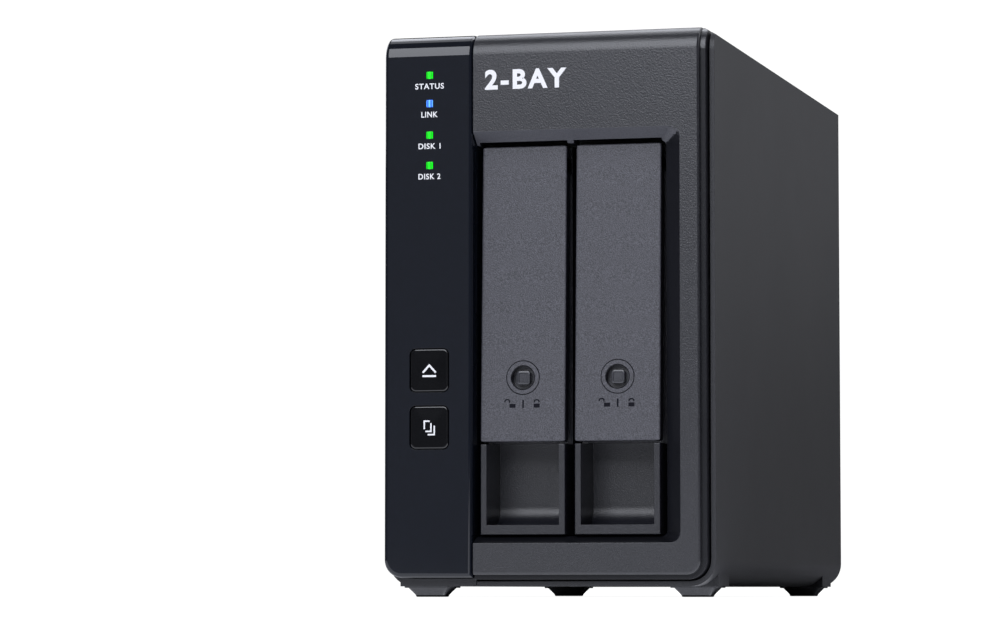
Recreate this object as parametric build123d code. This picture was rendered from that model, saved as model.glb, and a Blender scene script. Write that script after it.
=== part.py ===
from build123d import *
import math
import os

# Two-bay disk enclosure, standing upright. Millimetres.
# X runs to the right, Y runs back from the front face, Z runs up from the surface it stands on.
# The exported frame has its origin on that surface, under the middle of the case.

# Case
WIDTH = 102.0
DEPTH = 219.0
BODY_HEIGHT = 168.5
FOOT_HEIGHT = 3.2
WALL = 2.4
BOTTOM_RADIUS = 8.0        # long lower edges of the case
BEVEL_RUN = 3.8            # shallow bevel along the upper right edge
BEVEL_FALL = 2.2
LEFT_EDGE_ROUND = 1.3
ROLL_DEPTH = 8.0           # the front rolls back over its top edge
ROLL_HEIGHT = 7.1
SEAM_GAP = 0.3             # between the two case halves and between the two front panels
BOSS_LENGTH = 12.0         # bosses for the rear panel's screws
BOSS_WEB = 2.4
PILOT_R = 1.25
PILOT_DEPTH = 9.0
CASE_SCREW_X = 9.0         # from the side and from the top or the bottom of the case
CASE_SCREW_Z = 12.0

# Front panels
FRONT_THICK = 5.0          # depth of the front panels at their rims
RAISED_DEPTH = 2.0         # the bezel's face stands this far ahead of its ledge
FACE_SIDE_INSET = 3.8
FACE_LOW_INSET = 3.5
LEDGE_INSET = 2.1
LIP_WALL = 1.5             # case wall where it laps round the bezel's skirt
SKIRT_BACK = 14.0
SKIRT_GAP = 0.5            # from the skirt's end to the case's full wall
SKIN = 2.0                 # moulded wall of the front panels
EDGE_ROUND = 0.8
GLOSS_LOW_INSET = 2.65
GLOSS_EDGE_ROUND = 1.3

# Bay mouth in the bezel
MOUTH_LOW = 18.3
MOUTH_SIDE_GAP = 1.7       # from a tray's side to the mouth's side
MOUTH_DEPTH = 5.0
SLOPE_RIGHT = 5.1
SLOPE_LOW = 2.1
SLOPE_HIGH = 3.8
MOUTH_OUTER_ROUND = 3.5
MOUTH_INNER_ROUND = 1.5
THROAT_BACK = 12.0
RELIEF_HEIGHT = 1.2        # room above each tray for the lever's top edge to swing
RELIEF_SIDE = 0.5
MOUTH_RUN_OUT = 4.0        # the mouth runs out past the seam by this

# Trays, one for each disk standing on its long edge
TRAY_COUNT = 2
TRAY_PITCH = 29.4
TRAY_WIDTH = 26.4
BAY_CENTRE = 6.5
TRAY_GAP = 0.4             # clearance under and over a tray
TRAY_FRONT = 3.0
MODULE_WALL_Y = 13.0       # wall behind the lever
MODULE_BACK = 23.0
RIM_TOP = 46.2
RIM_SIDE = 1.9
RIM_LOW = 3.0
RIM_ROUND = 0.4
POCKET_BACK = 19.3
POCKET_ROUND = 6.0
TRAY_SKIN = 1.8
ARM_WIDTH = 20.0
ARM_DEPTH = 8.35           # from the disk's edge to the tray's
ARM_WEB = 2.0
ARM_WALL = 2.0
TRAY_NOTCHES = ((-9.6, -4.0), (6.0, 9.6))
NOTCH_LIFT = 2.2
NOTCH_HEIGHT = 2.0
VENT_COUNT = 8
VENT_PITCH = 5.0
VENT_HEIGHT = 2.4
VENT_WIDTH = 16.0
VENT_LIFT = 14.0           # lowest vent above the lock

# Disk, 3.5 inch
DISK_THICK = 26.1
DISK_HEIGHT = 101.6
DISK_LENGTH = 147.0
DISK_FRONT = 25.0
DISK_COVER = 1.6
DISK_BOARD = 1.4
DISK_ROUND = 2.5
DISK_HOLE_R = 1.75
DISK_HOLE_DEPTH = 6.0
DISK_HOLES_Y = (28.5, 130.1)
DISK_HEAD_R = 3.0
DISK_HEAD_TALL = 1.2
DISK_SCREW_R = 1.7
DISK_SCREW_BITE = 4.0
COVER_INSET = 1.0
COVER_ROUND = 3.0
COVER_DISH_R = 12.0
COVER_DISH_Y = 55.0
COVER_DISH_DEPTH = 0.5
DISK_BOARD_FRONT = 70.0    # from the disk's front end
DISK_BOARD_INSET = 3.0

# Lever on each tray
LEVER_LOW = 46.9
LEVER_LEAN = 2.8           # its top edge stands this far behind its lower edge
PIVOT_Y = 10.0
PIVOT_DROP = 6.0           # below the tray's top
PIN_R = 1.0
PIN_PLAY = 0.06
LUG_R = 2.1
LUG_GAP = 0.4
CHEEK_R = 2.3
CHEEK_REACH = 3.5
LEVER_ROUND = 0.9
LEVER_RIM = 3.8            # depth of the lever's folded rim
LOCK_SEAT = 5.0
LOCK_SEAT_WALL = 2.0
LOCK_SEAT_FRONT = 0.5
LOCK_Z = 66.3
LOCK_R = 5.1
LOCK_PLAY = 0.1
LOCK_CUP_R = 3.55
LOCK_CUP_DEPTH = 2.6
LOCK_POST = 4.0
LOCK_POST_ROUND = 0.8
LOCK_POST_SINK = 0.5
LOCK_LENGTH = 6.0
CAM_LENGTH = 8.5
CAM_WIDTH = 4.0
CAM_THICK = 1.6

# Left column: lights and buttons
COLUMN_SHIFT = 0.35        # of the lights and buttons from the column's middle
LIGHT_Z = (159.0, 150.3, 140.6, 131.3)
LIGHT_WIDTH = 2.0
LIGHT_HEIGHT = 2.2
LIGHT_PLAY = 0.05
LAMP_WIDTH = 1.6
LAMP_HEIGHT = 2.0
LAMP_DEPTH = 0.9
LAMP_GAP = 0.3             # from a lamp to its pipe
BUTTON_Z = {"eject_button": 68.7, "copy_button": 51.3}
BUTTON_WIDTH = 12.0
BUTTON_HEIGHT = 13.0
BUTTON_ROUND = 1.7
BUTTON_PLAY = 0.25
BUTTON_TRAVEL = 0.5
CAP_ROUND = 0.4
FLANGE = 1.0               # width and thickness of a button's flange
FLANGE_GAP = 0.2
STEM_R = 2.0
STEM_GAP = 0.15
BOARD_THICK = 1.6
FRONT_BOARD_Y = 15.0
SWITCH_BODY = 6.0
SWITCH_DEPTH = 3.2
PLUNGER_R = 1.7
PLUNGER_TALL = 1.0
FRONT_BOARD_MARGIN = 0.25  # from the board's sides to the case and the cage
FRONT_BOARD_BELOW = 8.0
FRONT_BOARD_ABOVE = 4.0
POST_R = 2.2
POST_SINK = 0.5
POST_LIFT = 12.0
BAY_WALL_MARGIN = 4.0

# Drive cage and electronics
CAGE_WALL = 1.5
CAGE_FRONT = 14.6
CAGE_BACK = 182.0
CAGE_SIDE_GAP = 1.8        # from a tray's side to the cage wall
GUIDE_WIDTH = 3.0
GUIDE_HEIGHT = 3.2
GUIDE_PLAY = 0.4
GUIDE_START = 2.0          # behind the tray's front module
CAGE_VENT_LENGTH = 100.0
CAGE_VENT_HEIGHT = 60.0
CAGE_FOOT = 8.0            # square blocks between the cage and the case
CAGE_FOOT_X = 8.0
CAGE_FOOT_Y = 15.0
BACKPLANE_Y = 184.0
BACKPLANE_LOW = 34.0
BACKPLANE_HIGH = 122.0
PILLAR = 5.0
SOCKET_LENGTH = 33.0
SOCKET_WIDTH = 5.0
SOCKET_GAP = 0.6
SOCKET_X = -3.5            # from the disk's middle
SOCKET_LIFT = 12.0
SOCKET_SLOT = 1.4
SOCKET_END = 2.0
SOCKET_FLOOR = 4.0
PLUG_RECESS = 7.0
PLUG_DEPTH = 6.0
PLUG_TONGUE = 1.2
PLUG_LENGTH = 28.0
MAIN_BOARD_X = -44.0
MAIN_BOARD_FRONT = 40.0
MAIN_BOARD_BACK = 212.0
MAIN_BOARD_LOW = 24.0
MAIN_BOARD_HIGH = 148.0
BOSS_R = 3.0
BOARD_PILOT_R = 1.0
BOARD_HOLE_R = 1.5
BOARD_SCREW_INSET = 6.0
BOARD_SCREW_BACK = 30.0
BOARD_HEAD_R = 2.6
BOARD_HEAD_TALL = 1.6
BOARD_SCREW_BITE = 3.0
CHIP_Y = 150.0
CHIP_Z = 100.0
CHIP_SIZE = 14.0
CHIP_TALL = 1.4
# Y, Z, length, height and thickness of the other parts on the main board
OTHER_CHIPS = ((120, 104, 12, 8, 1.1), (176, 44, 8, 8, 4.0), (164, 44, 8, 8, 4.0), (185, 70, 6, 6, 1.0),
               (95, 60, 16, 10, 1.2))
SINK_SIZE = 24.0
SINK_BASE = 2.0
SINK_TALL = 9.0
FIN_COUNT = 7
FIN_THICK = 1.2

# Rear
REAR_THICK = 2.5
REAR_INSET = 1.0
FAN_SIZE = 70.0
FAN_THICK = 20.0
FAN_BORE_R = 33.5
FAN_X = BAY_CENTRE
FAN_Z = 96.0
FAN_HOLE_SPACING = 61.5
FAN_HOLE_R = 1.8
FAN_CORNER = 3.0
STRUT_THICK = 2.5
STRUT_WIDTH = 3.0
STRUT_TURNS = (20, 110)
TUBE_R = 4.0
TUBE_FRONT = 2.0
TUBE_BACK = 13.0
HUB_R = 14.5
HUB_WALL = 1.5
ROTOR_FRONT = 3.3
ROTOR_BACK = 1.5
SHAFT_END = 0.4
BLADE_COUNT = 9
BLADE_TIP_R = 32.3
BLADE_PITCH = 38
BLADE_CHORD = 16.0
BLADE_DEPTH = 12.4
BLADE_THICK = 1.3
SHAFT_R = 1.5
SHAFT_PLAY = 0.05
GRILLE_RINGS = 6
GRILLE_PITCH = 5.2
GRILLE_SLOT = 3.2
GRILLE_FIRST_R = 6.0
SPOKE_WIDTH = 2.4
SPOKE_TURNS = (45, 135)
HEAD_TALL = 0.9
RECESS_DEPTH = 0.5
RECESS_WIDTH = 0.6
RECESS_SHARE = 0.6
CASE_HEAD_R = 2.8
CASE_HOLE_R = 1.7
FAN_HEAD_R = 3.0
FAN_SCREW_PLAY = 0.1
SCREW_REACH = 8.0          # past the rear panel
USB_Z = 60.0
USB_WIDTH = 9.0
USB_THICK = 3.3
USB_DEPTH = 9.0
USB_WALL = 0.3
USB_TONGUE_THICK = 0.7
USB_TONGUE_WIDTH = 6.6
USB_TONGUE_SINK = 1.0
PORT_PLAY = 0.3
JACK_Z = 42.0
JACK_SIZE = 9.6
JACK_DEPTH = 14.0
JACK_MOUTH_R = 3.2
JACK_WALL = 0.7
JACK_PLAY = 0.1
JACK_BORE = 10.0
JACK_PIN_SINK = 1.0
JACK_PIN_R = 1.25
MODE_Z = 92.0
MODE_COUNT = 3
MODE_PITCH = 2.54
MODE_TRAVEL = 1.6
MODE_X = 4.0               # from the main board's face
MODE_SLIDER = 1.6
MODE_SLIDER_HIGH = 1.3
MODE_PLAY = 0.1
MODE_BODY_HALF = 3.2
MODE_BODY_BACK = 0.5
MODE_BODY_FRONT = 8.0
MODE_SLOT_DEPTH = 5.0
MODE_SLIDER_REACH = 4.6
MODE_SLIDER_OUT = 1.2
MODE_END = 1.0
POWER_Z = 128.0
POWER_R = 4.5
POWER_TRAVEL = 0.5
POWER_X = 6.5              # from the main board's face
POWER_ROUND = 0.5
POWER_FLANGE = 1.2
POWER_FLANGE_GAP = 0.2
POWER_STEM_R = 1.6
POWER_STEM = 3.4
POWER_SWITCH_HALF = 3.2
POWER_SWITCH_DEPTH = 3.6
POWER_PLUNGER = 0.8
LOCK_SLOT_WIDTH = 3.2
LOCK_SLOT_HEIGHT = 7.2
LOCK_SLOT_Z = 156.0
LOCK_SLOT_ROUND = 1.2

# Feet
FOOT_TOP = 14.5
FOOT_BOTTOM = 8.6
FOOT_X = 41.8
FOOT_INSET = 22.0
PAD_SIZE = 16.0
PAD_DEPTH = 5.0

TOP = FOOT_HEIGHT + BODY_HEIGHT
BASE = FOOT_HEIGHT
HALF = WIDTH / 2
TRAY_X = [BAY_CENTRE + TRAY_PITCH * (i - (TRAY_COUNT - 1) / 2) for i in range(TRAY_COUNT)]
SEAM_X = TRAY_X[0] - TRAY_WIDTH / 2 - MOUTH_SIDE_GAP
LEFT_OF_SEAM = SEAM_X - SEAM_GAP / 2
RIGHT_OF_SEAM = SEAM_X + SEAM_GAP / 2
COLUMN_X = (SEAM_X - HALF) / 2 + COLUMN_SHIFT
MOUTH_RIGHT = TRAY_X[-1] + TRAY_WIDTH / 2 + MOUTH_SIDE_GAP
MOUTH_HIGH = MOUTH_LOW + 2 * TRAY_GAP + 2 * ARM_DEPTH + DISK_HEIGHT
TRAY_LOW = MOUTH_LOW + TRAY_GAP
TRAY_HIGH = MOUTH_HIGH - TRAY_GAP
PIVOT_Z = TRAY_HIGH - PIVOT_DROP
DISK_LOW = TRAY_LOW + ARM_DEPTH
DISK_HIGH = DISK_LOW + DISK_HEIGHT
DISK_BACK = DISK_FRONT + DISK_LENGTH
BAY_LEFT = TRAY_X[0] - max(TRAY_WIDTH, DISK_THICK) / 2 - CAGE_SIDE_GAP
BAY_RIGHT = TRAY_X[-1] + max(TRAY_WIDTH, DISK_THICK) / 2 + CAGE_SIDE_GAP
FRONT_BOARD_LEFT = -HALF + WALL + FRONT_BOARD_MARGIN
FRONT_BOARD_RIGHT = BAY_LEFT - CAGE_WALL - FRONT_BOARD_MARGIN
REAR_OUT = DEPTH - REAR_INSET
REAR_IN = REAR_OUT - REAR_THICK
LEVER_HEIGHT = TRAY_HIGH - LEVER_LOW
LEAN = math.degrees(math.atan(LEVER_LEAN / LEVER_HEIGHT))
BOARD_FACE_X = MAIN_BOARD_X + BOARD_THICK


def block(x0, x1, y0, y1, z0, z1):
    """A plain box between two corners."""
    middle = Pos((x0 + x1) / 2, (y0 + y1) / 2, (z0 + z1) / 2)
    return middle * Box(x1 - x0, y1 - y0, z1 - z0)


def along_y(sketch, y0, y1):
    """Pushes a sketch drawn in X and Z back from y0 to y1."""
    return extrude(Plane.XZ.offset(-y0) * sketch, amount=y1 - y0, dir=(0, 1, 0))


def along_x(sketch, x0, x1):
    """Pushes a sketch drawn in Y and Z from x0 to x1."""
    return extrude(Plane.YZ.offset(x0) * sketch, amount=x1 - x0, dir=(1, 0, 0))


def rod_y(x, z, r, y0, y1):
    """A round bar along Y."""
    return along_y(Pos(x, z) * Circle(r), y0, y1)


def rod_x(y, z, r, x0, x1):
    """A round bar along X."""
    return along_x(Pos(y, z) * Circle(r), x0, x1)


def case_face(inset):
    """Cross-section of the whole case, taken in by inset all round."""
    left = -HALF + inset
    right = HALF - inset
    low = BASE + inset
    high = TOP - inset
    outline = Polygon((left, low), (right, low), (right, high - BEVEL_FALL),
                      (right - BEVEL_RUN, high), (left, high), align=None)
    lower = outline.vertices().group_by(Axis.Y)[0]
    outline = fillet(lower, BOTTOM_RADIUS - inset)
    upper_left = outline.vertices().filter_by(lambda v: v.X < left + 0.01 and v.Y > high - 0.01)
    return fillet(upper_left, max(LEFT_EDGE_ROUND - inset, 0.3))


def behind(shift):
    """Everything behind the front's side profile, set back by shift: upright, then rolled over the top."""
    start = TOP - ROLL_HEIGHT
    upright = Line((shift, -FOOT_HEIGHT), (shift, start))
    roll = EllipticalCenterArc((shift + ROLL_DEPTH, start), ROLL_DEPTH, ROLL_HEIGHT, start_angle=90,
                               arc_size=90)
    rest = Polyline((shift + ROLL_DEPTH, TOP), (2 * DEPTH, TOP), (2 * DEPTH, -FOOT_HEIGHT),
                    (shift, -FOOT_HEIGHT))
    return along_x(make_face([*upright.edges(), *roll.edges(), *rest.edges()]), -WIDTH, WIDTH)


def case_solid(inset, y0, y1):
    """The case's cross-section as a solid from y0 to y1."""
    return along_y(case_face(inset), y0, y1)


def half_space(side):
    """A big box on one side of the seam."""
    if side == "left":
        return block(-WIDTH, LEFT_OF_SEAM, -DEPTH, 2 * DEPTH, -TOP, 2 * TOP)
    return block(RIGHT_OF_SEAM, WIDTH, -DEPTH, 2 * DEPTH, -TOP, 2 * TOP)


def foot_places():
    """Centres of the four feet."""
    return [(x, y) for x in (-FOOT_X, FOOT_X) for y in (FOOT_INSET, DEPTH - FOOT_INSET)]


def pads(side):
    """Square blocks moulded on the lower edges above the feet, under one half of the case."""
    made = None
    for x, y in foot_places():
        if (x < 0) != (side == "left"):
            continue
        pad = block(x - PAD_SIZE / 2, x + PAD_SIZE / 2, y - PAD_SIZE / 2, y + PAD_SIZE / 2, BASE,
                    BASE + PAD_DEPTH)
        made = pad if made is None else made + pad
    return made


def screw_bosses(side):
    """Bosses behind the rear panel's corner screws, on one half of the case."""
    made = None
    for x, z in rear_screw_places():
        if (x < 0) != (side == "left"):
            continue
        reach = -HALF + WALL / 2 if side == "left" else HALF - WALL / 2
        boss = rod_y(x, z, BOSS_R, REAR_IN - BOSS_LENGTH, REAR_IN)
        web = block(min(x, reach), max(x, reach), REAR_IN - BOSS_LENGTH, REAR_IN, z - BOSS_WEB / 2,
                    z + BOSS_WEB / 2)
        both = boss + web - rod_y(x, z, PILOT_R, REAR_IN - PILOT_DEPTH, REAR_IN + 1)
        made = both if made is None else made + both
    return made


def rear_screw_places():
    """X and Z of the four screws that hold the rear panel."""
    return [(x, z) for x in (-HALF + CASE_SCREW_X, HALF - CASE_SCREW_X)
            for z in (BASE + CASE_SCREW_Z, TOP - CASE_SCREW_Z)]


def case_half(side):
    """One moulded half of the case: a wall, and its part of the top and the bottom."""
    front = FRONT_THICK + (SEAM_GAP if side == "left" else 0)
    solid = case_solid(0, 0, DEPTH) & behind(front) & half_space(side)
    solid += pads(side)
    solid -= case_solid(WALL, -1, DEPTH + 1)
    if side == "right":
        step = SKIRT_BACK + SKIRT_GAP
        solid -= case_solid(LIP_WALL, -1, step) & block(-WIDTH, WIDTH, -1, DEPTH, -1, TOP - BEVEL_FALL)
        solid -= block(-WIDTH, HALF - LIP_WALL, -1, step, TOP / 2, 2 * TOP)
    solid += screw_bosses(side)
    return solid


def left_shell():
    """Left half, with bosses for the main board on its inner face."""
    solid = case_half("left")
    for y, z in board_screw_places():
        boss = rod_x(y, z, BOSS_R, -HALF + WALL / 2, MAIN_BOARD_X)
        solid += boss - rod_x(y, z, BOARD_PILOT_R, -HALF + WALL, MAIN_BOARD_X)
    return solid


def board_screw_places():
    """Y and Z of the main board's screws."""
    ys = (MAIN_BOARD_FRONT + BOARD_SCREW_INSET, MAIN_BOARD_BACK - BOARD_SCREW_BACK)
    zs = (MAIN_BOARD_LOW + BOARD_SCREW_INSET, MAIN_BOARD_HIGH - BOARD_SCREW_INSET)
    return [(y, z) for y in ys for z in zs]


def corner_section(left, right, low, high, radius):
    """A rectangle in X and Z with its lower right corner rounded."""
    box = Polygon((left, low), (right, low), (right, high), (left, high), align=None)
    corner = box.vertices().filter_by(lambda v: v.X > right - 0.01 and v.Y < low + 0.01)
    return fillet(corner, radius)


def mouth_face(grow_right, grow_low, grow_high, radius):
    """The bay mouth in X and Z, open past the seam on its left."""
    left = SEAM_X - MOUTH_RUN_OUT
    return corner_pair(left, MOUTH_RIGHT + grow_right, MOUTH_LOW - grow_low, MOUTH_HIGH + grow_high, radius)


def corner_pair(left, right, low, high, radius):
    """A rectangle in X and Z with both right corners rounded."""
    box = Polygon((left, low), (right, low), (right, high), (left, high), align=None)
    corners = box.vertices().filter_by(lambda v: v.X > right - 0.01)
    return fillet(corners, radius)


def front_bezel():
    """Textured front: a raised face on a ledge, a skirt that plugs into the case, and the bay mouth."""
    whole = case_solid(0, 0, DEPTH)
    face = corner_section(RIGHT_OF_SEAM, HALF - FACE_SIDE_INSET, BASE + FACE_LOW_INSET, TOP,
                          BOTTOM_RADIUS - FACE_SIDE_INSET)
    raised = along_y(face, 0, SKIRT_BACK) & behind(0)
    front = raised.faces().sort_by(Axis.Y)[0]
    rim = front.edges().filter_by(lambda e: e.center().X > HALF - 10 or e.center().Z < BASE + 6)
    raised = fillet(rim, EDGE_ROUND) - behind(RAISED_DEPTH)
    ledge = corner_section(RIGHT_OF_SEAM, HALF - LEDGE_INSET, BASE + LEDGE_INSET, TOP,
                           BOTTOM_RADIUS - LEDGE_INSET)
    plate = along_y(ledge, 0, SKIRT_BACK) & whole & behind(RAISED_DEPTH)
    inner = corner_section(RIGHT_OF_SEAM + SKIN, HALF - LEDGE_INSET - SKIN, BASE + LEDGE_INSET + SKIN,
                           TOP - SKIN,
                           BOTTOM_RADIUS - LEDGE_INSET - SKIN)
    plate -= along_y(inner, 0, DEPTH) & behind(FRONT_THICK)
    throat = along_y(mouth_face(SKIN, SKIN, SKIN, MOUTH_INNER_ROUND + SKIN), MOUTH_DEPTH - 1, THROAT_BACK)
    solid = raised + plate + (throat & half_space("right"))
    ahead = 1.0
    grow = 1 + ahead / MOUTH_DEPTH
    wide = mouth_face(SLOPE_RIGHT * grow, SLOPE_LOW * grow, SLOPE_HIGH * grow, MOUTH_OUTER_ROUND)
    narrow = mouth_face(0, 0, 0, MOUTH_INNER_ROUND)
    solid -= loft([Plane.XZ.offset(ahead) * wide, Plane.XZ.offset(-MOUTH_DEPTH) * narrow])
    solid -= along_y(mouth_face(0, 0, 0, MOUTH_INNER_ROUND), MOUTH_DEPTH - 0.01, SKIRT_BACK + 1)
    for x in TRAY_X:
        half = TRAY_WIDTH / 2 + RELIEF_SIDE
        top = MOUTH_HIGH + RELIEF_HEIGHT
        solid -= block(x - half, x + half, MOUTH_DEPTH - 1, SKIRT_BACK + 1, MOUTH_HIGH - 2, top)
    return solid


def gloss_panel():
    """Glossy left column of the front, a hollow cap with windows for the lights and the two buttons."""
    low = BASE + GLOSS_LOW_INSET
    outer = Polygon((-HALF, low), (LEFT_OF_SEAM, low), (LEFT_OF_SEAM, TOP), (-HALF, TOP), align=None)
    corner = outer.vertices().filter_by(lambda v: v.X < -HALF + 0.01 and v.Y < low + 0.01)
    outer = fillet(corner, BOTTOM_RADIUS - GLOSS_LOW_INSET)
    solid = along_y(outer, 0, DEPTH) & behind(0)
    front = solid.faces().sort_by(Axis.Y)[0]
    rim = front.edges().filter_by(lambda e: abs(e.center().Z - (TOP - ROLL_HEIGHT)) > 0.5)
    solid = fillet(rim, GLOSS_EDGE_ROUND)
    solid -= behind(FRONT_THICK)
    hollow = block(-HALF + SKIN, LEFT_OF_SEAM - SKIN, 0, DEPTH, low + SKIN, TOP - SKIN)
    solid -= hollow & behind(SKIN)
    for z in LIGHT_Z:
        half = LIGHT_HEIGHT / 2 + LIGHT_PLAY
        wide = LIGHT_WIDTH / 2 + LIGHT_PLAY
        solid -= block(COLUMN_X - wide, COLUMN_X + wide, -1, FRONT_THICK, z - half, z + half)
    window = RectangleRounded(BUTTON_WIDTH + 2 * BUTTON_PLAY, BUTTON_HEIGHT + 2 * BUTTON_PLAY,
                              BUTTON_ROUND + BUTTON_PLAY)
    for z in BUTTON_Z.values():
        solid -= along_y(Pos(COLUMN_X, z) * window, -1, FRONT_THICK)
    for x, z in front_board_posts():
        solid += rod_y(x, z, POST_R, SKIN - POST_SINK, FRONT_BOARD_Y)
    bay_side = block(LEFT_OF_SEAM - SKIN, LEFT_OF_SEAM, SKIN, CAGE_FRONT - SEAM_GAP,
                     MOUTH_LOW - BAY_WALL_MARGIN, MOUTH_HIGH + BAY_WALL_MARGIN)
    return solid + bay_side


def front_board_posts():
    """X and Z of the posts that carry the front board."""
    xs = (FRONT_BOARD_LEFT + POST_R, FRONT_BOARD_RIGHT - POST_R)
    zs = (LIGHT_Z[-1] - POST_LIFT, BUTTON_Z["eject_button"] + POST_LIFT)
    return [(x, z) for x in xs for z in zs]


def rear_panel():
    """Flat rear panel with the fan grille, the sockets' cut-outs, the security slot and four screw holes."""
    solid = case_solid(WALL, REAR_IN, REAR_OUT)
    for ring in range(GRILLE_RINGS):
        inner = GRILLE_FIRST_R + ring * GRILLE_PITCH - GRILLE_SLOT / 2
        slot = rod_y(FAN_X, FAN_Z, inner + GRILLE_SLOT, REAR_IN - 1, DEPTH)
        slot -= rod_y(FAN_X, FAN_Z, inner, REAR_IN - 1, DEPTH)
        for turn in SPOKE_TURNS:
            slot -= Pos(FAN_X, 0, FAN_Z) * Rot(0, turn, 0) * Box(FAN_SIZE, 3 * DEPTH, SPOKE_WIDTH)
        solid -= slot
    for x, z in fan_screw_places():
        solid -= rod_y(x, z, FAN_HOLE_R, REAR_IN - 1, DEPTH)
    for x, z in rear_screw_places():
        solid -= rod_y(x, z, CASE_HOLE_R, REAR_IN - 1, DEPTH)
    usb = RectangleRounded(USB_THICK + 2 * PORT_PLAY, USB_WIDTH + 2 * PORT_PLAY, USB_THICK / 2)
    solid -= along_y(Pos(usb_x(), USB_Z) * usb, REAR_IN - 1, DEPTH)
    solid -= rod_y(jack_x(), JACK_Z, JACK_MOUTH_R + JACK_WALL + JACK_PLAY, REAR_IN - 1, DEPTH)
    wide = mode_width() / 2 + PORT_PLAY
    reach = mode_slot_half()
    solid -= block(mode_x() - reach, mode_x() + reach, REAR_IN - 1, DEPTH, MODE_Z - wide, MODE_Z + wide)
    solid -= rod_y(power_x(), POWER_Z, POWER_R + BUTTON_PLAY, REAR_IN - 1, DEPTH)
    lock_slot = RectangleRounded(LOCK_SLOT_WIDTH, LOCK_SLOT_HEIGHT, LOCK_SLOT_ROUND)
    return solid - along_y(Pos(COLUMN_X, LOCK_SLOT_Z) * lock_slot, REAR_IN - 1, DEPTH)


def fan_screw_places():
    """X and Z of the fan's four screws."""
    half = FAN_HOLE_SPACING / 2
    return [(FAN_X + dx, FAN_Z + dz) for dx in (-half, half) for dz in (-half, half)]


def usb_x():
    """Middle of the USB socket, which lies on the main board."""
    return BOARD_FACE_X + USB_THICK / 2


def jack_x():
    """Middle of the power inlet, which stands on the main board."""
    return BOARD_FACE_X + JACK_SIZE / 2


def mode_x():
    """Middle of the mode switch's sliders."""
    return BOARD_FACE_X + MODE_X


def mode_slot_half():
    """Half the length of a mode slider's slot."""
    return (MODE_TRAVEL + MODE_SLIDER) / 2 + MODE_PLAY


def mode_width():
    """Height of the slot that the mode sliders look through."""
    return MODE_PITCH * MODE_COUNT


def power_x():
    """Middle of the power button."""
    return BOARD_FACE_X + POWER_X


def screw(x, z, head_r, shank_r, y_head, y_tip):
    """Pan-head screw along Y, its head outside y_head, with a cross recess."""
    head = rod_y(x, z, head_r, y_head, y_head + HEAD_TALL)
    shank = rod_y(x, z, shank_r, y_tip, y_head)
    floor = y_head + HEAD_TALL - RECESS_DEPTH
    reach = head_r * RECESS_SHARE
    half = RECESS_WIDTH / 2
    recess = block(x - reach, x + reach, floor, y_head + 2 * HEAD_TALL, z - half, z + half)
    recess += block(x - half, x + half, floor, y_head + 2 * HEAD_TALL, z - reach, z + reach)
    return head + shank - recess


def case_screws():
    """Four screws through the rear panel into the case halves."""
    return [screw(x, z, CASE_HEAD_R, PILOT_R, REAR_OUT, REAR_IN - SCREW_REACH)
            for x, z in rear_screw_places()]


def rubber_feet():
    """Four feet, each a square block that tapers towards the floor."""
    feet = []
    for x, y in foot_places():
        top = Plane.XY.offset(BASE) * Pos(x, y) * Rectangle(FOOT_TOP, FOOT_TOP)
        bottom = Pos(x, y) * Rectangle(FOOT_BOTTOM, FOOT_BOTTOM)
        feet.append(loft([bottom, top]))
    return feet


def light_pipe(z):
    """One clear pipe from the front face back to its lamp."""
    half = LIGHT_HEIGHT / 2
    wide = LIGHT_WIDTH / 2
    back = FRONT_BOARD_Y - LAMP_DEPTH - LAMP_GAP
    return block(COLUMN_X - wide, COLUMN_X + wide, 0, back, z - half, z + half)


def lamp(z):
    """One lamp on the front board, behind its pipe."""
    wide = LAMP_WIDTH / 2
    half = LAMP_HEIGHT / 2
    return block(COLUMN_X - wide, COLUMN_X + wide, FRONT_BOARD_Y - LAMP_DEPTH, FRONT_BOARD_Y, z - half,
                 z + half)


def front_board():
    """Board behind the gloss panel, resting on the panel's posts."""
    low = BUTTON_Z["copy_button"] - FRONT_BOARD_BELOW
    high = LIGHT_Z[0] + FRONT_BOARD_ABOVE
    return block(FRONT_BOARD_LEFT, FRONT_BOARD_RIGHT, FRONT_BOARD_Y, FRONT_BOARD_Y + BOARD_THICK, low, high)


def front_switch(z):
    """A click switch on the front board: body and plunger."""
    half = SWITCH_BODY / 2
    front = FRONT_BOARD_Y - SWITCH_DEPTH
    body = block(COLUMN_X - half, COLUMN_X + half, front, FRONT_BOARD_Y, z - half, z + half)
    return body + rod_y(COLUMN_X, z, PLUNGER_R, front - PLUNGER_TALL, front)


def push_button(z):
    """Square cap flush with the gloss panel, with a flange that keeps it in and a stem for its switch."""
    front = SKIN + FLANGE_GAP
    back = front + FLANGE
    cap = along_y(Pos(COLUMN_X, z) * RectangleRounded(BUTTON_WIDTH, BUTTON_HEIGHT, BUTTON_ROUND), 0, back)
    cap = fillet(cap.faces().sort_by(Axis.Y)[0].edges(), CAP_ROUND)
    wide = BUTTON_WIDTH / 2 + FLANGE
    half = BUTTON_HEIGHT / 2 + FLANGE
    flange = block(COLUMN_X - wide, COLUMN_X + wide, front, back, z - half, z + half)
    stem_end = FRONT_BOARD_Y - SWITCH_DEPTH - PLUNGER_TALL - BUTTON_TRAVEL - STEM_GAP
    return cap + flange + rod_y(COLUMN_X, z, STEM_R, front, stem_end)


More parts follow.
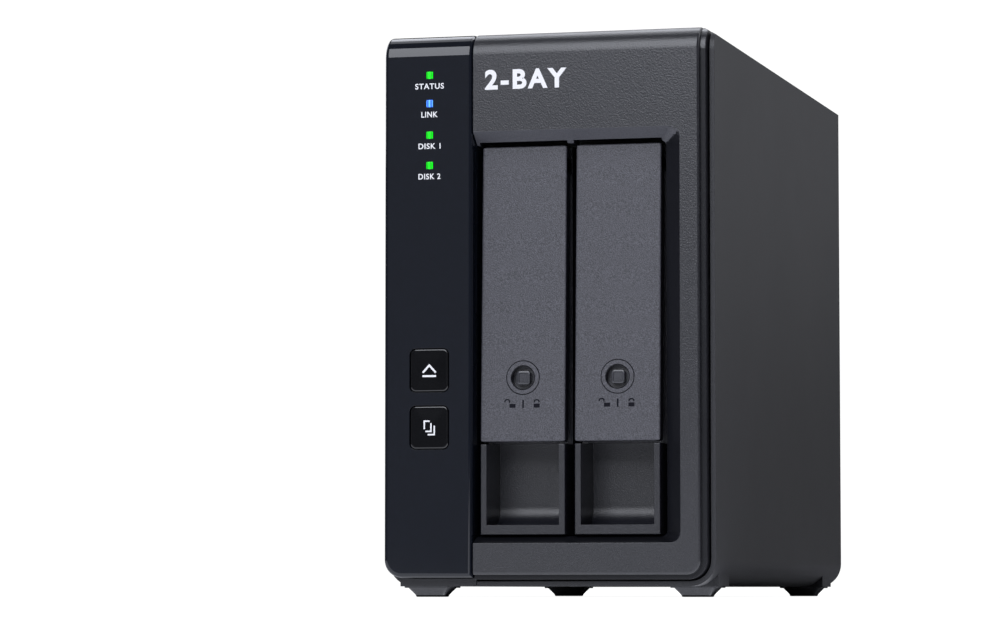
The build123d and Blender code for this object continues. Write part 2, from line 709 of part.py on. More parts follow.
def drive_cage():
    """Open-ended box round the two trays, with guide ribs on its floor and ceiling."""
    low = MOUTH_LOW
    high = MOUTH_HIGH
    solid = block(BAY_LEFT - CAGE_WALL, BAY_RIGHT + CAGE_WALL, CAGE_FRONT, CAGE_BACK, low - CAGE_WALL,
                  high + CAGE_WALL)
    solid -= block(BAY_LEFT, BAY_RIGHT, CAGE_FRONT - 1, CAGE_BACK + 1, low, high)
    for x in TRAY_X:
        for side in (-1, 1):
            near = x + side * (ARM_WIDTH / 2 + GUIDE_PLAY)
            far = near + side * GUIDE_WIDTH
            left, right = min(near, far), max(near, far)
            solid += block(left, right, MODULE_BACK + GUIDE_START, CAGE_BACK, low, low + GUIDE_HEIGHT)
            solid += block(left, right, MODULE_BACK + GUIDE_START, CAGE_BACK, high - GUIDE_HEIGHT, high)
    vent = Box(3 * WIDTH, CAGE_VENT_LENGTH, CAGE_VENT_HEIGHT)
    solid -= Pos(0, (CAGE_FRONT + CAGE_BACK) / 2, (low + high) / 2) * vent
    foot = CAGE_FOOT / 2
    for z0, z1 in ((BASE + WALL, low - CAGE_WALL), (high + CAGE_WALL, TOP - WALL)):
        for x in (BAY_LEFT + CAGE_FOOT_X, BAY_RIGHT - CAGE_FOOT_X):
            for y in (CAGE_FRONT + CAGE_FOOT_Y, CAGE_BACK - CAGE_FOOT_Y):
                solid += block(x - foot, x + foot, y - foot, y + foot, z0, z1)
    return solid


def backplane():
    """Board across the back of the cage."""
    return block(BAY_LEFT, BAY_RIGHT, BACKPLANE_Y, BACKPLANE_Y + BOARD_THICK, BACKPLANE_LOW, BACKPLANE_HIGH)


def socket_z():
    """Middle of the disk's plug, which is nearer one long edge of the disk."""
    return DISK_LOW + SOCKET_LIFT + SOCKET_LENGTH / 2


def drive_socket(x):
    """Socket on the backplane, facing the disk's plug."""
    half = SOCKET_LENGTH / 2
    middle = x + SOCKET_X
    z = socket_z()
    body = block(middle - SOCKET_WIDTH / 2, middle + SOCKET_WIDTH / 2, DISK_BACK + SOCKET_GAP, BACKPLANE_Y,
                 z - half, z + half)
    return body - block(middle - SOCKET_SLOT / 2, middle + SOCKET_SLOT / 2, DISK_BACK,
                        BACKPLANE_Y - SOCKET_FLOOR,
                        z - half + SOCKET_END, z + half - SOCKET_END)


def backplane_posts():
    """Four pillars that hold the backplane off the cage."""
    posts = []
    for x in (BAY_LEFT, BAY_RIGHT - PILLAR):
        for z in (BACKPLANE_LOW + PILLAR, BACKPLANE_HIGH - 2 * PILLAR):
            posts.append(block(x, x + PILLAR, CAGE_BACK, BACKPLANE_Y, z, z + PILLAR))
    return posts


def main_board():
    """Tall board along the left wall, with its screw holes."""
    solid = block(MAIN_BOARD_X, BOARD_FACE_X, MAIN_BOARD_FRONT, MAIN_BOARD_BACK, MAIN_BOARD_LOW,
                  MAIN_BOARD_HIGH)
    for y, z in board_screw_places():
        solid -= rod_x(y, z, BOARD_HOLE_R, MAIN_BOARD_X - 1, BOARD_FACE_X + 1)
    return solid


def board_screws():
    """Screws of the main board."""
    made = []
    for y, z in board_screw_places():
        head = rod_x(y, z, BOARD_HEAD_R, BOARD_FACE_X, BOARD_FACE_X + BOARD_HEAD_TALL)
        made.append(head + rod_x(y, z, BOARD_PILOT_R, MAIN_BOARD_X - BOARD_SCREW_BITE, BOARD_FACE_X))
    return made


def board_chips():
    """Bridge chip, memory, regulators and coils on the main board."""
    made = []
    for y, z, dy, dz, tall in ((CHIP_Y, CHIP_Z, CHIP_SIZE, CHIP_SIZE, CHIP_TALL), *OTHER_CHIPS):
        made.append(block(BOARD_FACE_X, BOARD_FACE_X + tall, y - dy / 2, y + dy / 2, z - dz / 2, z + dz / 2))
    return made


def heat_sink():
    """Finned block on the bridge chip."""
    x0 = BOARD_FACE_X + CHIP_TALL
    half = SINK_SIZE / 2
    solid = block(x0, x0 + SINK_BASE, CHIP_Y - half, CHIP_Y + half, CHIP_Z - half, CHIP_Z + half)
    for i in range(FIN_COUNT):
        z = CHIP_Z - half + i * (SINK_SIZE - FIN_THICK) / (FIN_COUNT - 1)
        solid += block(x0 + SINK_BASE / 2, x0 + SINK_TALL, CHIP_Y - half, CHIP_Y + half, z, z + FIN_THICK)
    return solid


def usb_socket():
    """Oval metal socket with its tongue, lying on the main board's rear edge."""
    shell = RectangleRounded(USB_THICK, USB_WIDTH, USB_THICK / 2 - 0.01)
    hole = RectangleRounded(USB_THICK - 2 * USB_WALL, USB_WIDTH - 2 * USB_WALL,
                            USB_THICK / 2 - USB_WALL - 0.01)
    back = REAR_OUT - USB_DEPTH
    solid = along_y(Pos(usb_x(), USB_Z) * shell, back, REAR_OUT)
    solid -= along_y(Pos(usb_x(), USB_Z) * hole, back + 1, DEPTH)
    thick = USB_TONGUE_THICK / 2
    wide = USB_TONGUE_WIDTH / 2
    return solid + block(usb_x() - thick, usb_x() + thick, back, REAR_OUT - USB_TONGUE_SINK, USB_Z - wide,
                         USB_Z + wide)


def dc_jack():
    """Round power inlet with its centre pin."""
    half = JACK_SIZE / 2
    solid = block(jack_x() - half, jack_x() + half, REAR_IN - JACK_DEPTH, REAR_IN, JACK_Z - half,
                  JACK_Z + half)
    solid += rod_y(jack_x(), JACK_Z, JACK_MOUTH_R + JACK_WALL, REAR_IN - 1, REAR_OUT)
    solid -= rod_y(jack_x(), JACK_Z, JACK_MOUTH_R, REAR_OUT - JACK_BORE, DEPTH)
    return solid + rod_y(jack_x(), JACK_Z, JACK_PIN_R, REAR_OUT - JACK_BORE - 1, REAR_OUT - JACK_PIN_SINK)


def mode_switch():
    """Body of the mode switch, with one slot for each slider."""
    tall = mode_width() / 2 + MODE_END
    solid = block(BOARD_FACE_X, mode_x() + MODE_BODY_HALF, REAR_IN - MODE_BODY_FRONT,
                  REAR_IN - MODE_BODY_BACK,
                  MODE_Z - tall, MODE_Z + tall)
    reach = mode_slot_half()
    high = MODE_SLIDER_HIGH / 2 + MODE_PLAY
    for z in mode_slider_places():
        solid -= block(mode_x() - reach, mode_x() + reach, REAR_IN - MODE_SLOT_DEPTH, REAR_IN, z - high,
                       z + high)
    return solid


def mode_slider_places():
    """Z of each mode slider."""
    return [MODE_Z + MODE_PITCH * (i - (MODE_COUNT - 1) / 2) for i in range(MODE_COUNT)]


def mode_slider(z):
    """One small slider, at the board end of its slot."""
    left = mode_x() - mode_slot_half() + MODE_PLAY
    high = MODE_SLIDER_HIGH / 2
    return block(left, left + MODE_SLIDER, REAR_IN - MODE_SLIDER_REACH, REAR_IN + MODE_SLIDER_OUT,
                 z - high, z + high)


def power_button():
    """Round button in the rear panel, with a flange and a stem."""
    back = REAR_IN - POWER_FLANGE_GAP
    front = back - POWER_FLANGE
    cap = rod_y(power_x(), POWER_Z, POWER_R, front, REAR_OUT)
    cap = fillet(cap.faces().sort_by(Axis.Y)[-1].edges(), POWER_ROUND)
    flange = rod_y(power_x(), POWER_Z, POWER_R + FLANGE, front, back)
    return cap + flange + rod_y(power_x(), POWER_Z, POWER_STEM_R, REAR_IN - POWER_STEM, back)


def power_switch():
    """Click switch on the main board behind the power button."""
    tip = REAR_IN - POWER_STEM - POWER_TRAVEL - STEM_GAP
    back = tip - POWER_PLUNGER
    half = POWER_SWITCH_HALF
    body = block(BOARD_FACE_X, power_x() + half, back - POWER_SWITCH_DEPTH, back, POWER_Z - half,
                 POWER_Z + half)
    return body + rod_y(power_x(), POWER_Z, POWER_STEM_R, back, tip)


def fan_frame():
    """Square fan frame with a round duct, four struts and a bearing tube."""
    y0 = REAR_IN - FAN_THICK
    half = FAN_SIZE / 2
    solid = block(FAN_X - half, FAN_X + half, y0, REAR_IN, FAN_Z - half, FAN_Z + half)
    solid = fillet(solid.edges().filter_by(Axis.Y), FAN_CORNER)
    solid -= rod_y(FAN_X, FAN_Z, FAN_BORE_R, y0 - 1, REAR_IN + 1)
    for x, z in fan_screw_places():
        solid -= rod_y(x, z, FAN_HOLE_R, y0 - 1, REAR_IN + 1)
    for turn in STRUT_TURNS:
        strut = Box(2 * FAN_BORE_R + 1, STRUT_THICK, STRUT_WIDTH)
        solid += Pos(FAN_X, y0 + STRUT_THICK / 2, FAN_Z) * Rot(0, turn, 0) * strut
    solid += rod_y(FAN_X, FAN_Z, HUB_R - 1, y0, y0 + STRUT_THICK)
    tube = rod_y(FAN_X, FAN_Z, TUBE_R, y0 + TUBE_FRONT, y0 + TUBE_BACK)
    bore = rod_y(FAN_X, FAN_Z, SHAFT_R + SHAFT_PLAY, y0 + TUBE_FRONT + 1, REAR_IN)
    return solid + tube - bore


def fan_rotor():
    """Cup-shaped hub with its shaft and twisted blades."""
    y0 = REAR_IN - FAN_THICK + ROTOR_FRONT
    y1 = REAR_IN - ROTOR_BACK
    solid = rod_y(FAN_X, FAN_Z, HUB_R, y0, y1) - rod_y(FAN_X, FAN_Z, HUB_R - HUB_WALL, y0 - 1, y1 - HUB_WALL)
    solid = solid + rod_y(FAN_X, FAN_Z, SHAFT_R, y0 + SHAFT_END, y1 - HUB_WALL / 2)
    reach = BLADE_TIP_R - HUB_R + 1
    for i in range(BLADE_COUNT):
        plain = Box(reach, BLADE_CHORD, BLADE_THICK)
        blade = Pos(HUB_R - 1 + reach / 2, 0, 0) * Rot(BLADE_PITCH, 0, 0) * plain
        blade = blade & rod_y(0, 0, BLADE_TIP_R, -BLADE_DEPTH / 2, BLADE_DEPTH / 2)
        solid += Pos(FAN_X, (y0 + y1) / 2, FAN_Z) * Rot(0, i * 360 / BLADE_COUNT, 0) * blade
    return solid


def fan_screws():
    """Four screws through the rear panel into the fan frame."""
    shank = FAN_HOLE_R - FAN_SCREW_PLAY
    return [screw(x, z, FAN_HEAD_R, shank, REAR_OUT, REAR_IN - SCREW_REACH) for x, z in fan_screw_places()]


def tray_body(x):
    """Disk tray: front module with the finger pocket, and an arm along each long edge of the disk."""
    half = TRAY_WIDTH / 2
    low_block = block(x - half, x + half, TRAY_FRONT, MODULE_BACK, TRAY_LOW, RIM_TOP)
    solid = fillet(low_block.faces().sort_by(Axis.Y)[0].edges(), RIM_ROUND)
    solid += block(x - half, x + half, MODULE_WALL_Y, MODULE_BACK, RIM_TOP - 1, TRAY_HIGH)
    pocket = Polygon((TRAY_FRONT - 1, TRAY_LOW + RIM_LOW), (POCKET_BACK, TRAY_LOW + RIM_LOW),
                     (POCKET_BACK, RIM_TOP + 0.5), (TRAY_FRONT - 1, RIM_TOP + 0.5), align=None)
    deep = pocket.vertices().filter_by(lambda v: v.X > POCKET_BACK - 0.01 and v.Y < TRAY_LOW + RIM_LOW + 0.01)
    solid -= along_x(fillet(deep, POCKET_ROUND), x - half + RIM_SIDE, x + half - RIM_SIDE)
    solid -= block(x - half + TRAY_SKIN, x + half - TRAY_SKIN, MODULE_WALL_Y + TRAY_SKIN, MODULE_BACK + 1,
                   RIM_TOP + 2, TRAY_HIGH - TRAY_SKIN)
    wall_back = MODULE_WALL_Y + TRAY_SKIN + 1
    notch_low = RIM_TOP + NOTCH_LIFT
    for left, right in TRAY_NOTCHES:
        solid -= block(x + left, x + right, MODULE_WALL_Y - 1, wall_back, notch_low, notch_low + NOTCH_HEIGHT)
    for i in range(VENT_COUNT):
        z = LOCK_Z + VENT_LIFT + i * VENT_PITCH
        solid -= block(x - VENT_WIDTH / 2, x + VENT_WIDTH / 2, MODULE_WALL_Y - 1, wall_back, z,
                       z + VENT_HEIGHT)
    lug = rod_x(PIVOT_Y, PIVOT_Z, LUG_R, x - lug_half(), x + lug_half())
    lug += block(x - lug_half(), x + lug_half(), PIVOT_Y, MODULE_WALL_Y + 1, PIVOT_Z - LUG_R, PIVOT_Z + LUG_R)
    solid += lug
    solid -= rod_x(PIVOT_Y, PIVOT_Z, PIN_R, x - half - 1, x + half + 1)
    for z0, z1, web_z in ((TRAY_LOW, DISK_LOW, DISK_LOW - ARM_WEB), (DISK_HIGH, TRAY_HIGH, DISK_HIGH)):
        arm = block(x - ARM_WIDTH / 2, x + ARM_WIDTH / 2, MODULE_BACK - 1, DISK_BACK, z0, z1)
        gutter_low = z0 - 1 if web_z > z0 else web_z + ARM_WEB
        gutter_high = web_z if web_z > z0 else z1 + 1
        inner = ARM_WIDTH / 2 - ARM_WALL
        arm -= block(x - inner, x + inner, MODULE_BACK, DISK_BACK - ARM_WALL, gutter_low, gutter_high)
        solid += arm
    for y, z in disk_screw_places():
        solid -= Pos(x, y, z) * Cylinder(DISK_HOLE_R, 3 * ARM_DEPTH)
    return solid


def lug_half():
    """Half the width of the tray's hinge lug, between the lever's cheeks."""
    return TRAY_WIDTH / 2 - TRAY_SKIN - LUG_GAP


def disk_screw_places():
    """Y and Z of the disk's screws: two holes on each long edge."""
    return [(DISK_FRONT + y, z) for y in DISK_HOLES_Y for z in (DISK_LOW, DISK_HIGH)]


def disk_screws(x):
    """Screws up and down through the arms into the disk's edges."""
    made = []
    for y, z in disk_screw_places():
        out = -1 if z < (DISK_LOW + DISK_HIGH) / 2 else 1
        head = Pos(x, y, z + out * (ARM_WEB + DISK_HEAD_TALL / 2)) * Cylinder(DISK_HEAD_R, DISK_HEAD_TALL)
        middle = z + out * (ARM_WEB - DISK_SCREW_BITE) / 2
        shank = Pos(x, y, middle) * Cylinder(DISK_SCREW_R, ARM_WEB + DISK_SCREW_BITE)
        made.append(head + shank)
    return made


def lever(x):
    """Tray lever: a leaning plate with a folded rim, two cheeks on the hinge pin and the lock's hole."""
    half = TRAY_WIDTH / 2
    plate = block(-half, half, 0, LEVER_RIM, 0, LEVER_HEIGHT)
    plate = fillet(plate.faces().sort_by(Axis.Y)[0].edges(), LEVER_ROUND)
    inner = half - TRAY_SKIN
    plate -= block(-inner, inner, TRAY_SKIN, LEVER_RIM + 1, TRAY_SKIN, LEVER_HEIGHT - TRAY_SKIN)
    plate += rod_y(0, LOCK_Z - LEVER_LOW, LOCK_R + LOCK_SEAT_WALL, LOCK_SEAT_FRONT, LOCK_SEAT)
    plate -= rod_y(0, LOCK_Z - LEVER_LOW, LOCK_R + LOCK_PLAY, -1, LOCK_SEAT + 1)
    solid = lever_place(x) * plate
    for side in (-1, 1):
        x0 = x + side * (half - TRAY_SKIN)
        x1 = x + side * half
        left, right = min(x0, x1), max(x0, x1)
        cheek = rod_x(PIVOT_Y, PIVOT_Z, CHEEK_R, left, right)
        cheek += block(left, right, PIVOT_Y - CHEEK_REACH, PIVOT_Y, PIVOT_Z - CHEEK_R, PIVOT_Z + CHEEK_R)
        solid += cheek
    return solid - rod_x(PIVOT_Y, PIVOT_Z, PIN_R + PIN_PLAY, x - half - 1, x + half + 1)


def lever_place(x):
    """Stands the lever's plate on its lower edge and leans it back."""
    return Pos(x, TRAY_FRONT, LEVER_LOW) * Rot(-LEAN, 0, 0)


def hinge_pin(x):
    """Steel pin through the lever's cheeks and the tray's lug."""
    return rod_x(PIVOT_Y, PIVOT_Z, PIN_R, x - TRAY_WIDTH / 2, x + TRAY_WIDTH / 2)


def lock_barrel(x):
    """Round lock flush with the lever, with a square post in a cup for its key."""
    barrel = rod_y(0, 0, LOCK_R, 0.0, LOCK_LENGTH)
    barrel -= rod_y(0, 0, LOCK_CUP_R, -1, LOCK_CUP_DEPTH)
    post = RectangleRounded(LOCK_POST, LOCK_POST, LOCK_POST_ROUND)
    post = along_y(post, LOCK_POST_SINK, LOCK_CUP_DEPTH + LOCK_POST_SINK)
    return lever_place(x) * Pos(0, 0, LOCK_Z - LEVER_LOW) * (barrel + post)


def lock_cam(x):
    """Arm on the back of the lock, pointing along the lever when it is open."""
    cam = block(-CAM_WIDTH / 2, CAM_WIDTH / 2, LOCK_LENGTH, LOCK_LENGTH + CAM_THICK, -CAM_WIDTH / 2,
                CAM_LENGTH)
    return lever_place(x) * Pos(0, 0, LOCK_Z - LEVER_LOW) * cam


def disk_base(x):
    """Cast body of the disk, with threaded holes in both long edges and the plug at its rear."""
    right = x + DISK_THICK / 2 - DISK_COVER
    left = x - DISK_THICK / 2 + DISK_BOARD
    solid = block(left, right, DISK_FRONT, DISK_BACK, DISK_LOW, DISK_HIGH)
    solid = fillet(solid.edges().filter_by(Axis.X), DISK_ROUND)
    for y, z in disk_screw_places():
        solid -= Pos(x, y, z) * Cylinder(DISK_HOLE_R, 2 * DISK_HOLE_DEPTH)
    z = socket_z()
    middle = x + SOCKET_X
    floor = DISK_BACK - PLUG_DEPTH
    solid -= block(middle - PLUG_RECESS / 2, middle + PLUG_RECESS / 2, floor, DISK_BACK + 1,
                   z - SOCKET_LENGTH / 2, z + SOCKET_LENGTH / 2)
    return solid + block(middle - PLUG_TONGUE / 2, middle + PLUG_TONGUE / 2, floor - 1, DISK_BACK - 1,
                         z - PLUG_LENGTH / 2, z + PLUG_LENGTH / 2)


def disk_cover(x):
    """Pressed lid of the disk."""
    side = x + DISK_THICK / 2
    solid = block(side - DISK_COVER, side, DISK_FRONT + COVER_INSET, DISK_BACK - COVER_INSET,
                  DISK_LOW + COVER_INSET, DISK_HIGH - COVER_INSET)
    solid = fillet(solid.edges().filter_by(Axis.X), COVER_ROUND)
    dish_z = DISK_LOW + DISK_HEIGHT / 2
    return solid - rod_x(DISK_FRONT + COVER_DISH_Y, dish_z, COVER_DISH_R, side - COVER_DISH_DEPTH, side + 1)


def disk_board(x):
    """Circuit board on the disk's other face."""
    side = x - DISK_THICK / 2
    return block(side, side + DISK_BOARD, DISK_FRONT + DISK_BOARD_FRONT, DISK_BACK - DISK_BOARD_INSET,
                 DISK_LOW + DISK_BOARD_INSET, DISK_HIGH - DISK_BOARD_INSET)


def save(name, shape):
    """Writes one node, moved so that the origin is under the middle of the case."""
    solids = shape if isinstance(shape, list) else [shape]
    group = Compound(children=[Pos(0, -DEPTH / 2, 0) * s for s in solids]) if len(solids) > 1 else None
    export_step(group if group else Pos(0, -DEPTH / 2, 0) * solids[0], f"parts/{name}.step")


os.makedirs("parts", exist_ok=True)
save("left_shell", left_shell())
save("right_shell", case_half("right"))
save("front_bezel", front_bezel())
save("gloss_panel", gloss_panel())
save("rear_panel", rear_panel())
save("case_screws", case_screws())
save("rubber_feet", rubber_feet())
save("green_light_pipes", [light_pipe(z) for i, z in enumerate(LIGHT_Z) if i != 1])
save("blue_light_pipe", light_pipe(LIGHT_Z[1]))
save("lamps", [lamp(z) for z in LIGHT_Z])
save("front_board", front_board())
save("front_switches", [front_switch(z) for z in BUTTON_Z.values()])
for button, z in BUTTON_Z.items():
    save(button, push_button(z))
save("drive_cage", drive_cage())
save("backplane_board", backplane())
save("backplane_posts", backplane_posts())
save("drive_sockets", [drive_socket(x) for x in TRAY_X])
save("main_board", main_board())
save("board_screws", board_screws())
save("board_chips", board_chips())
save("heat_sink", heat_sink())
save("usb_socket", usb_socket())
save("dc_jack", dc_jack())
save("mode_switch", mode_switch())
for i, z in enumerate(mode_slider_places()):
    save(f"mode_slider_{i + 1}", mode_slider(z))
save("power_button", power_button())
save("power_switch", power_switch())
save("fan_frame", fan_frame())
save("fan_rotor", fan_rotor())
save("fan_screws", fan_screws())
for i, x in enumerate(TRAY_X):
    tray = f"tray_{i + 1}"
    save(f"{tray}_body", tray_body(x))
    save(f"{tray}_lever", lever(x))
    save(f"{tray}_pin", hinge_pin(x))
    save(f"{tray}_lock", lock_barrel(x))
    save(f"{tray}_cam", lock_cam(x))
    save(f"{tray}_disk_base", disk_base(x))
    save(f"{tray}_disk_cover", disk_cover(x))
    save(f"{tray}_disk_board", disk_board(x))
    save(f"{tray}_disk_screws", disk_screws(x))
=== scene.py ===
import math

import bmesh
import bpy
import numpy as np
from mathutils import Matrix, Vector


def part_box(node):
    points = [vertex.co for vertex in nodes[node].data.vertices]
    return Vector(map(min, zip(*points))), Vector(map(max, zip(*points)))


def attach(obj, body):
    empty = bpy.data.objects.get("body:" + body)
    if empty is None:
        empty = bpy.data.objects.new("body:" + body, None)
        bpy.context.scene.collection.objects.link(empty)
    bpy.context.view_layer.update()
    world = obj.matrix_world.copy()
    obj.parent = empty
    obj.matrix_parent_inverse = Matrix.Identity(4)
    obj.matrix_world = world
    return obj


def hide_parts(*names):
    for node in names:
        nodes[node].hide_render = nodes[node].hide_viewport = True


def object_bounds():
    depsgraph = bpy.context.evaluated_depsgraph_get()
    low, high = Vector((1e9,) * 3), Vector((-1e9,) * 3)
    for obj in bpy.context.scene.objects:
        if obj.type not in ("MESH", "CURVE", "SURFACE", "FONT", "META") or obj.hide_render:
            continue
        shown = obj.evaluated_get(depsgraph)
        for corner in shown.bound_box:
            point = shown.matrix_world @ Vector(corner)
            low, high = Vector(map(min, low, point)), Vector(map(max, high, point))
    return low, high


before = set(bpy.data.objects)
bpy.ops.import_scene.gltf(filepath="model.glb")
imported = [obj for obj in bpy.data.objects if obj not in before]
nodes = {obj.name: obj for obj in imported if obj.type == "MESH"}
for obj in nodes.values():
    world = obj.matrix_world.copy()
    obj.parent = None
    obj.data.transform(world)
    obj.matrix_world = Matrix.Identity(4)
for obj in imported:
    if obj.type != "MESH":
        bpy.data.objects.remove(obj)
cad_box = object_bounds()
MM = 0.001


# ---------------------------------------------------------------- camera, floor and studio light
# A long lens close to the desk, a little to the right of the enclosure. The floor is a pale
# sheet that fades to the white of the backdrop; light comes from a big softbox ahead and above.
LENS_MM = 142.6
EYE = (0.29329, -1.26571, 0.00200)
EYE_TURN = math.radians(14.904)
EYE_TILT = math.radians(4.012)

camera_data = bpy.data.cameras.new("camera")
camera_data.lens = LENS_MM
camera_data.sensor_width = 36.0
camera_data.clip_start = 0.01
camera_data.clip_end = 50.0
camera = bpy.data.objects.new("camera", camera_data)
camera.location = EYE
camera.rotation_euler = (math.pi / 2 + EYE_TILT, 0.0, EYE_TURN)
bpy.context.collection.objects.link(camera)
bpy.context.scene.camera = camera
bpy.context.scene.view_settings.view_transform = "Standard"

BACKDROP_WHITE = 1.05
ROOM_LIGHT = 0.10
world = bpy.data.worlds.new("studio")
bpy.context.scene.world = world
world.use_nodes = True
sky = world.node_tree.nodes["Background"]
sky.inputs["Color"].default_value = (1.0, 1.0, 1.0, 1.0)
seen = world.node_tree.nodes.new("ShaderNodeLightPath")
level = world.node_tree.nodes.new("ShaderNodeMapRange")
level.inputs["To Min"].default_value = ROOM_LIGHT
level.inputs["To Max"].default_value = BACKDROP_WHITE
world.node_tree.links.new(seen.outputs["Is Camera Ray"], level.inputs["Value"])
world.node_tree.links.new(level.outputs["Result"], sky.inputs["Strength"])

STUDIO_TINT = (0.90, 0.925, 1.0)


def softbox(name, place, aim, wide, tall, radiance):
    """A rectangular studio light at place, facing aim, as bright everywhere on its face as radiance says."""
    data = bpy.data.lights.new(name, "AREA")
    data.shape = "RECTANGLE"
    data.size = wide
    data.size_y = tall
    data.energy = radiance * math.pi * wide * tall
    data.color = STUDIO_TINT
    lamp = bpy.data.objects.new(name, data)
    towards = np.array(aim) - np.array(place)
    flat = math.hypot(towards[0], towards[1])
    lamp.rotation_euler = (math.atan2(flat, -towards[2]), 0.0, math.atan2(-towards[0], towards[1]))
    lamp.location = place
    lamp.visible_camera = False
    bpy.context.collection.objects.link(lamp)


softbox("front_softbox", (-0.08, -1.10, 0.92), (0.0, -0.10, 0.15), 0.85, 1.15, 4.9)
softbox("overhead_softbox", (0.0, 0.62, 1.05), (0.0, 0.0, 0.12), 1.0, 0.55, 3.4)
softbox("zenith_softbox", (0.0, 0.20, 1.22), (0.0, 0.0, 0.12), 1.0, 0.30, 1.3)
softbox("right_softbox", (1.10, 0.75, 0.75), (0.0, 0.0, 0.10), 0.8, 0.7, 1.65)
softbox("left_softbox", (-1.25, 0.95, 0.70), (0.0, 0.05, 0.10), 0.8, 0.8, 2.4)
softbox("front_card", (-0.35, -1.45, 0.20), (-0.05, -0.10, 0.10), 0.95, 0.42, 0.20)
softbox("rear_card", (0.55, 1.30, 0.57), (0.05, 0.0, 0.10), 0.90, 0.80, 0.30)
softbox("table_glow", (0.05, -0.439, 0.0005), (0.05, -0.439, 1.0), 1.0, 0.70, 1.15)
softbox("rear_glow", (-0.40, 0.49, 0.0005), (-0.40, 0.49, 1.0), 0.9, 0.70, 0.40)

FLOOR_REACH = 9.0
FLOOR_NEAR = 0.30          # round the enclosure the floor takes real shadows
FLOOR_FAR = 0.90           # past this it is as white as the backdrop
SHADOW_SHARE = 0.35
FLOOR_WHITE = 1.45
turns = np.linspace(0, 2 * math.pi, 96, endpoint=False)
ring = np.stack([np.cos(turns), np.sin(turns), np.zeros_like(turns)], 1) * FLOOR_REACH
floor_mesh = bpy.data.meshes.new("floor")
floor_mesh.from_pydata(ring.tolist(), [], [list(range(len(ring)))])
floor = bpy.data.objects.new("floor", floor_mesh)
bpy.context.collection.objects.link(floor)
paper = bpy.data.materials.new("white_paper")
paper.use_nodes = True
net = paper.node_tree
net.nodes.remove(net.nodes["Principled BSDF"])
matt = net.nodes.new("ShaderNodeBsdfDiffuse")
matt.inputs["Color"].default_value = (0.30, 0.30, 0.31, 1.0)
lit = net.nodes.new("ShaderNodeEmission")
lit.inputs["Strength"].default_value = FLOOR_WHITE
where = net.nodes.new("ShaderNodeTexCoord")
far = net.nodes.new("ShaderNodeVectorMath")
far.operation = "LENGTH"
net.links.new(where.outputs["Object"], far.inputs[0])
fade = net.nodes.new("ShaderNodeMapRange")
fade.interpolation_type = "SMOOTHSTEP"
fade.inputs["From Min"].default_value = FLOOR_NEAR
fade.inputs["From Max"].default_value = FLOOR_FAR
fade.inputs["To Min"].default_value = 1.0 - SHADOW_SHARE
net.links.new(far.outputs["Value"], fade.inputs["Value"])
path = net.nodes.new("ShaderNodeLightPath")
only_seen = net.nodes.new("ShaderNodeMath")
only_seen.operation = "MULTIPLY"
net.links.new(path.outputs["Is Camera Ray"], only_seen.inputs[0])
net.links.new(fade.outputs["Result"], only_seen.inputs[1])
blend = net.nodes.new("ShaderNodeMixShader")
net.links.new(only_seen.outputs["Value"], blend.inputs[0])
net.links.new(matt.outputs["BSDF"], blend.inputs[1])
net.links.new(lit.outputs["Emission"], blend.inputs[2])
net.links.new(blend.outputs["Shader"], net.nodes["Material Output"].inputs["Surface"])
floor_mesh.materials.append(paper)


# ---------------------------------------------------------------- case halves
# Two moulded ABS halves that meet under the column's seam, black with a fine even spark grain.
# They are held together by the rear panel's screws; the right half laps round the bezel.
CASE_COLOUR = (0.015, 0.0155, 0.019)
CASE_ROUGHNESS = 0.46
CASE_GRAIN = 0.42 * MM
CASE_EDGE = 0.35 * MM
CASE_RELIEF = 0.05 * MM
MOULDED_ANGLE = math.radians(32)
BEVEL_SEGMENTS = 2
FLAT_ANGLE = math.radians(0.6)


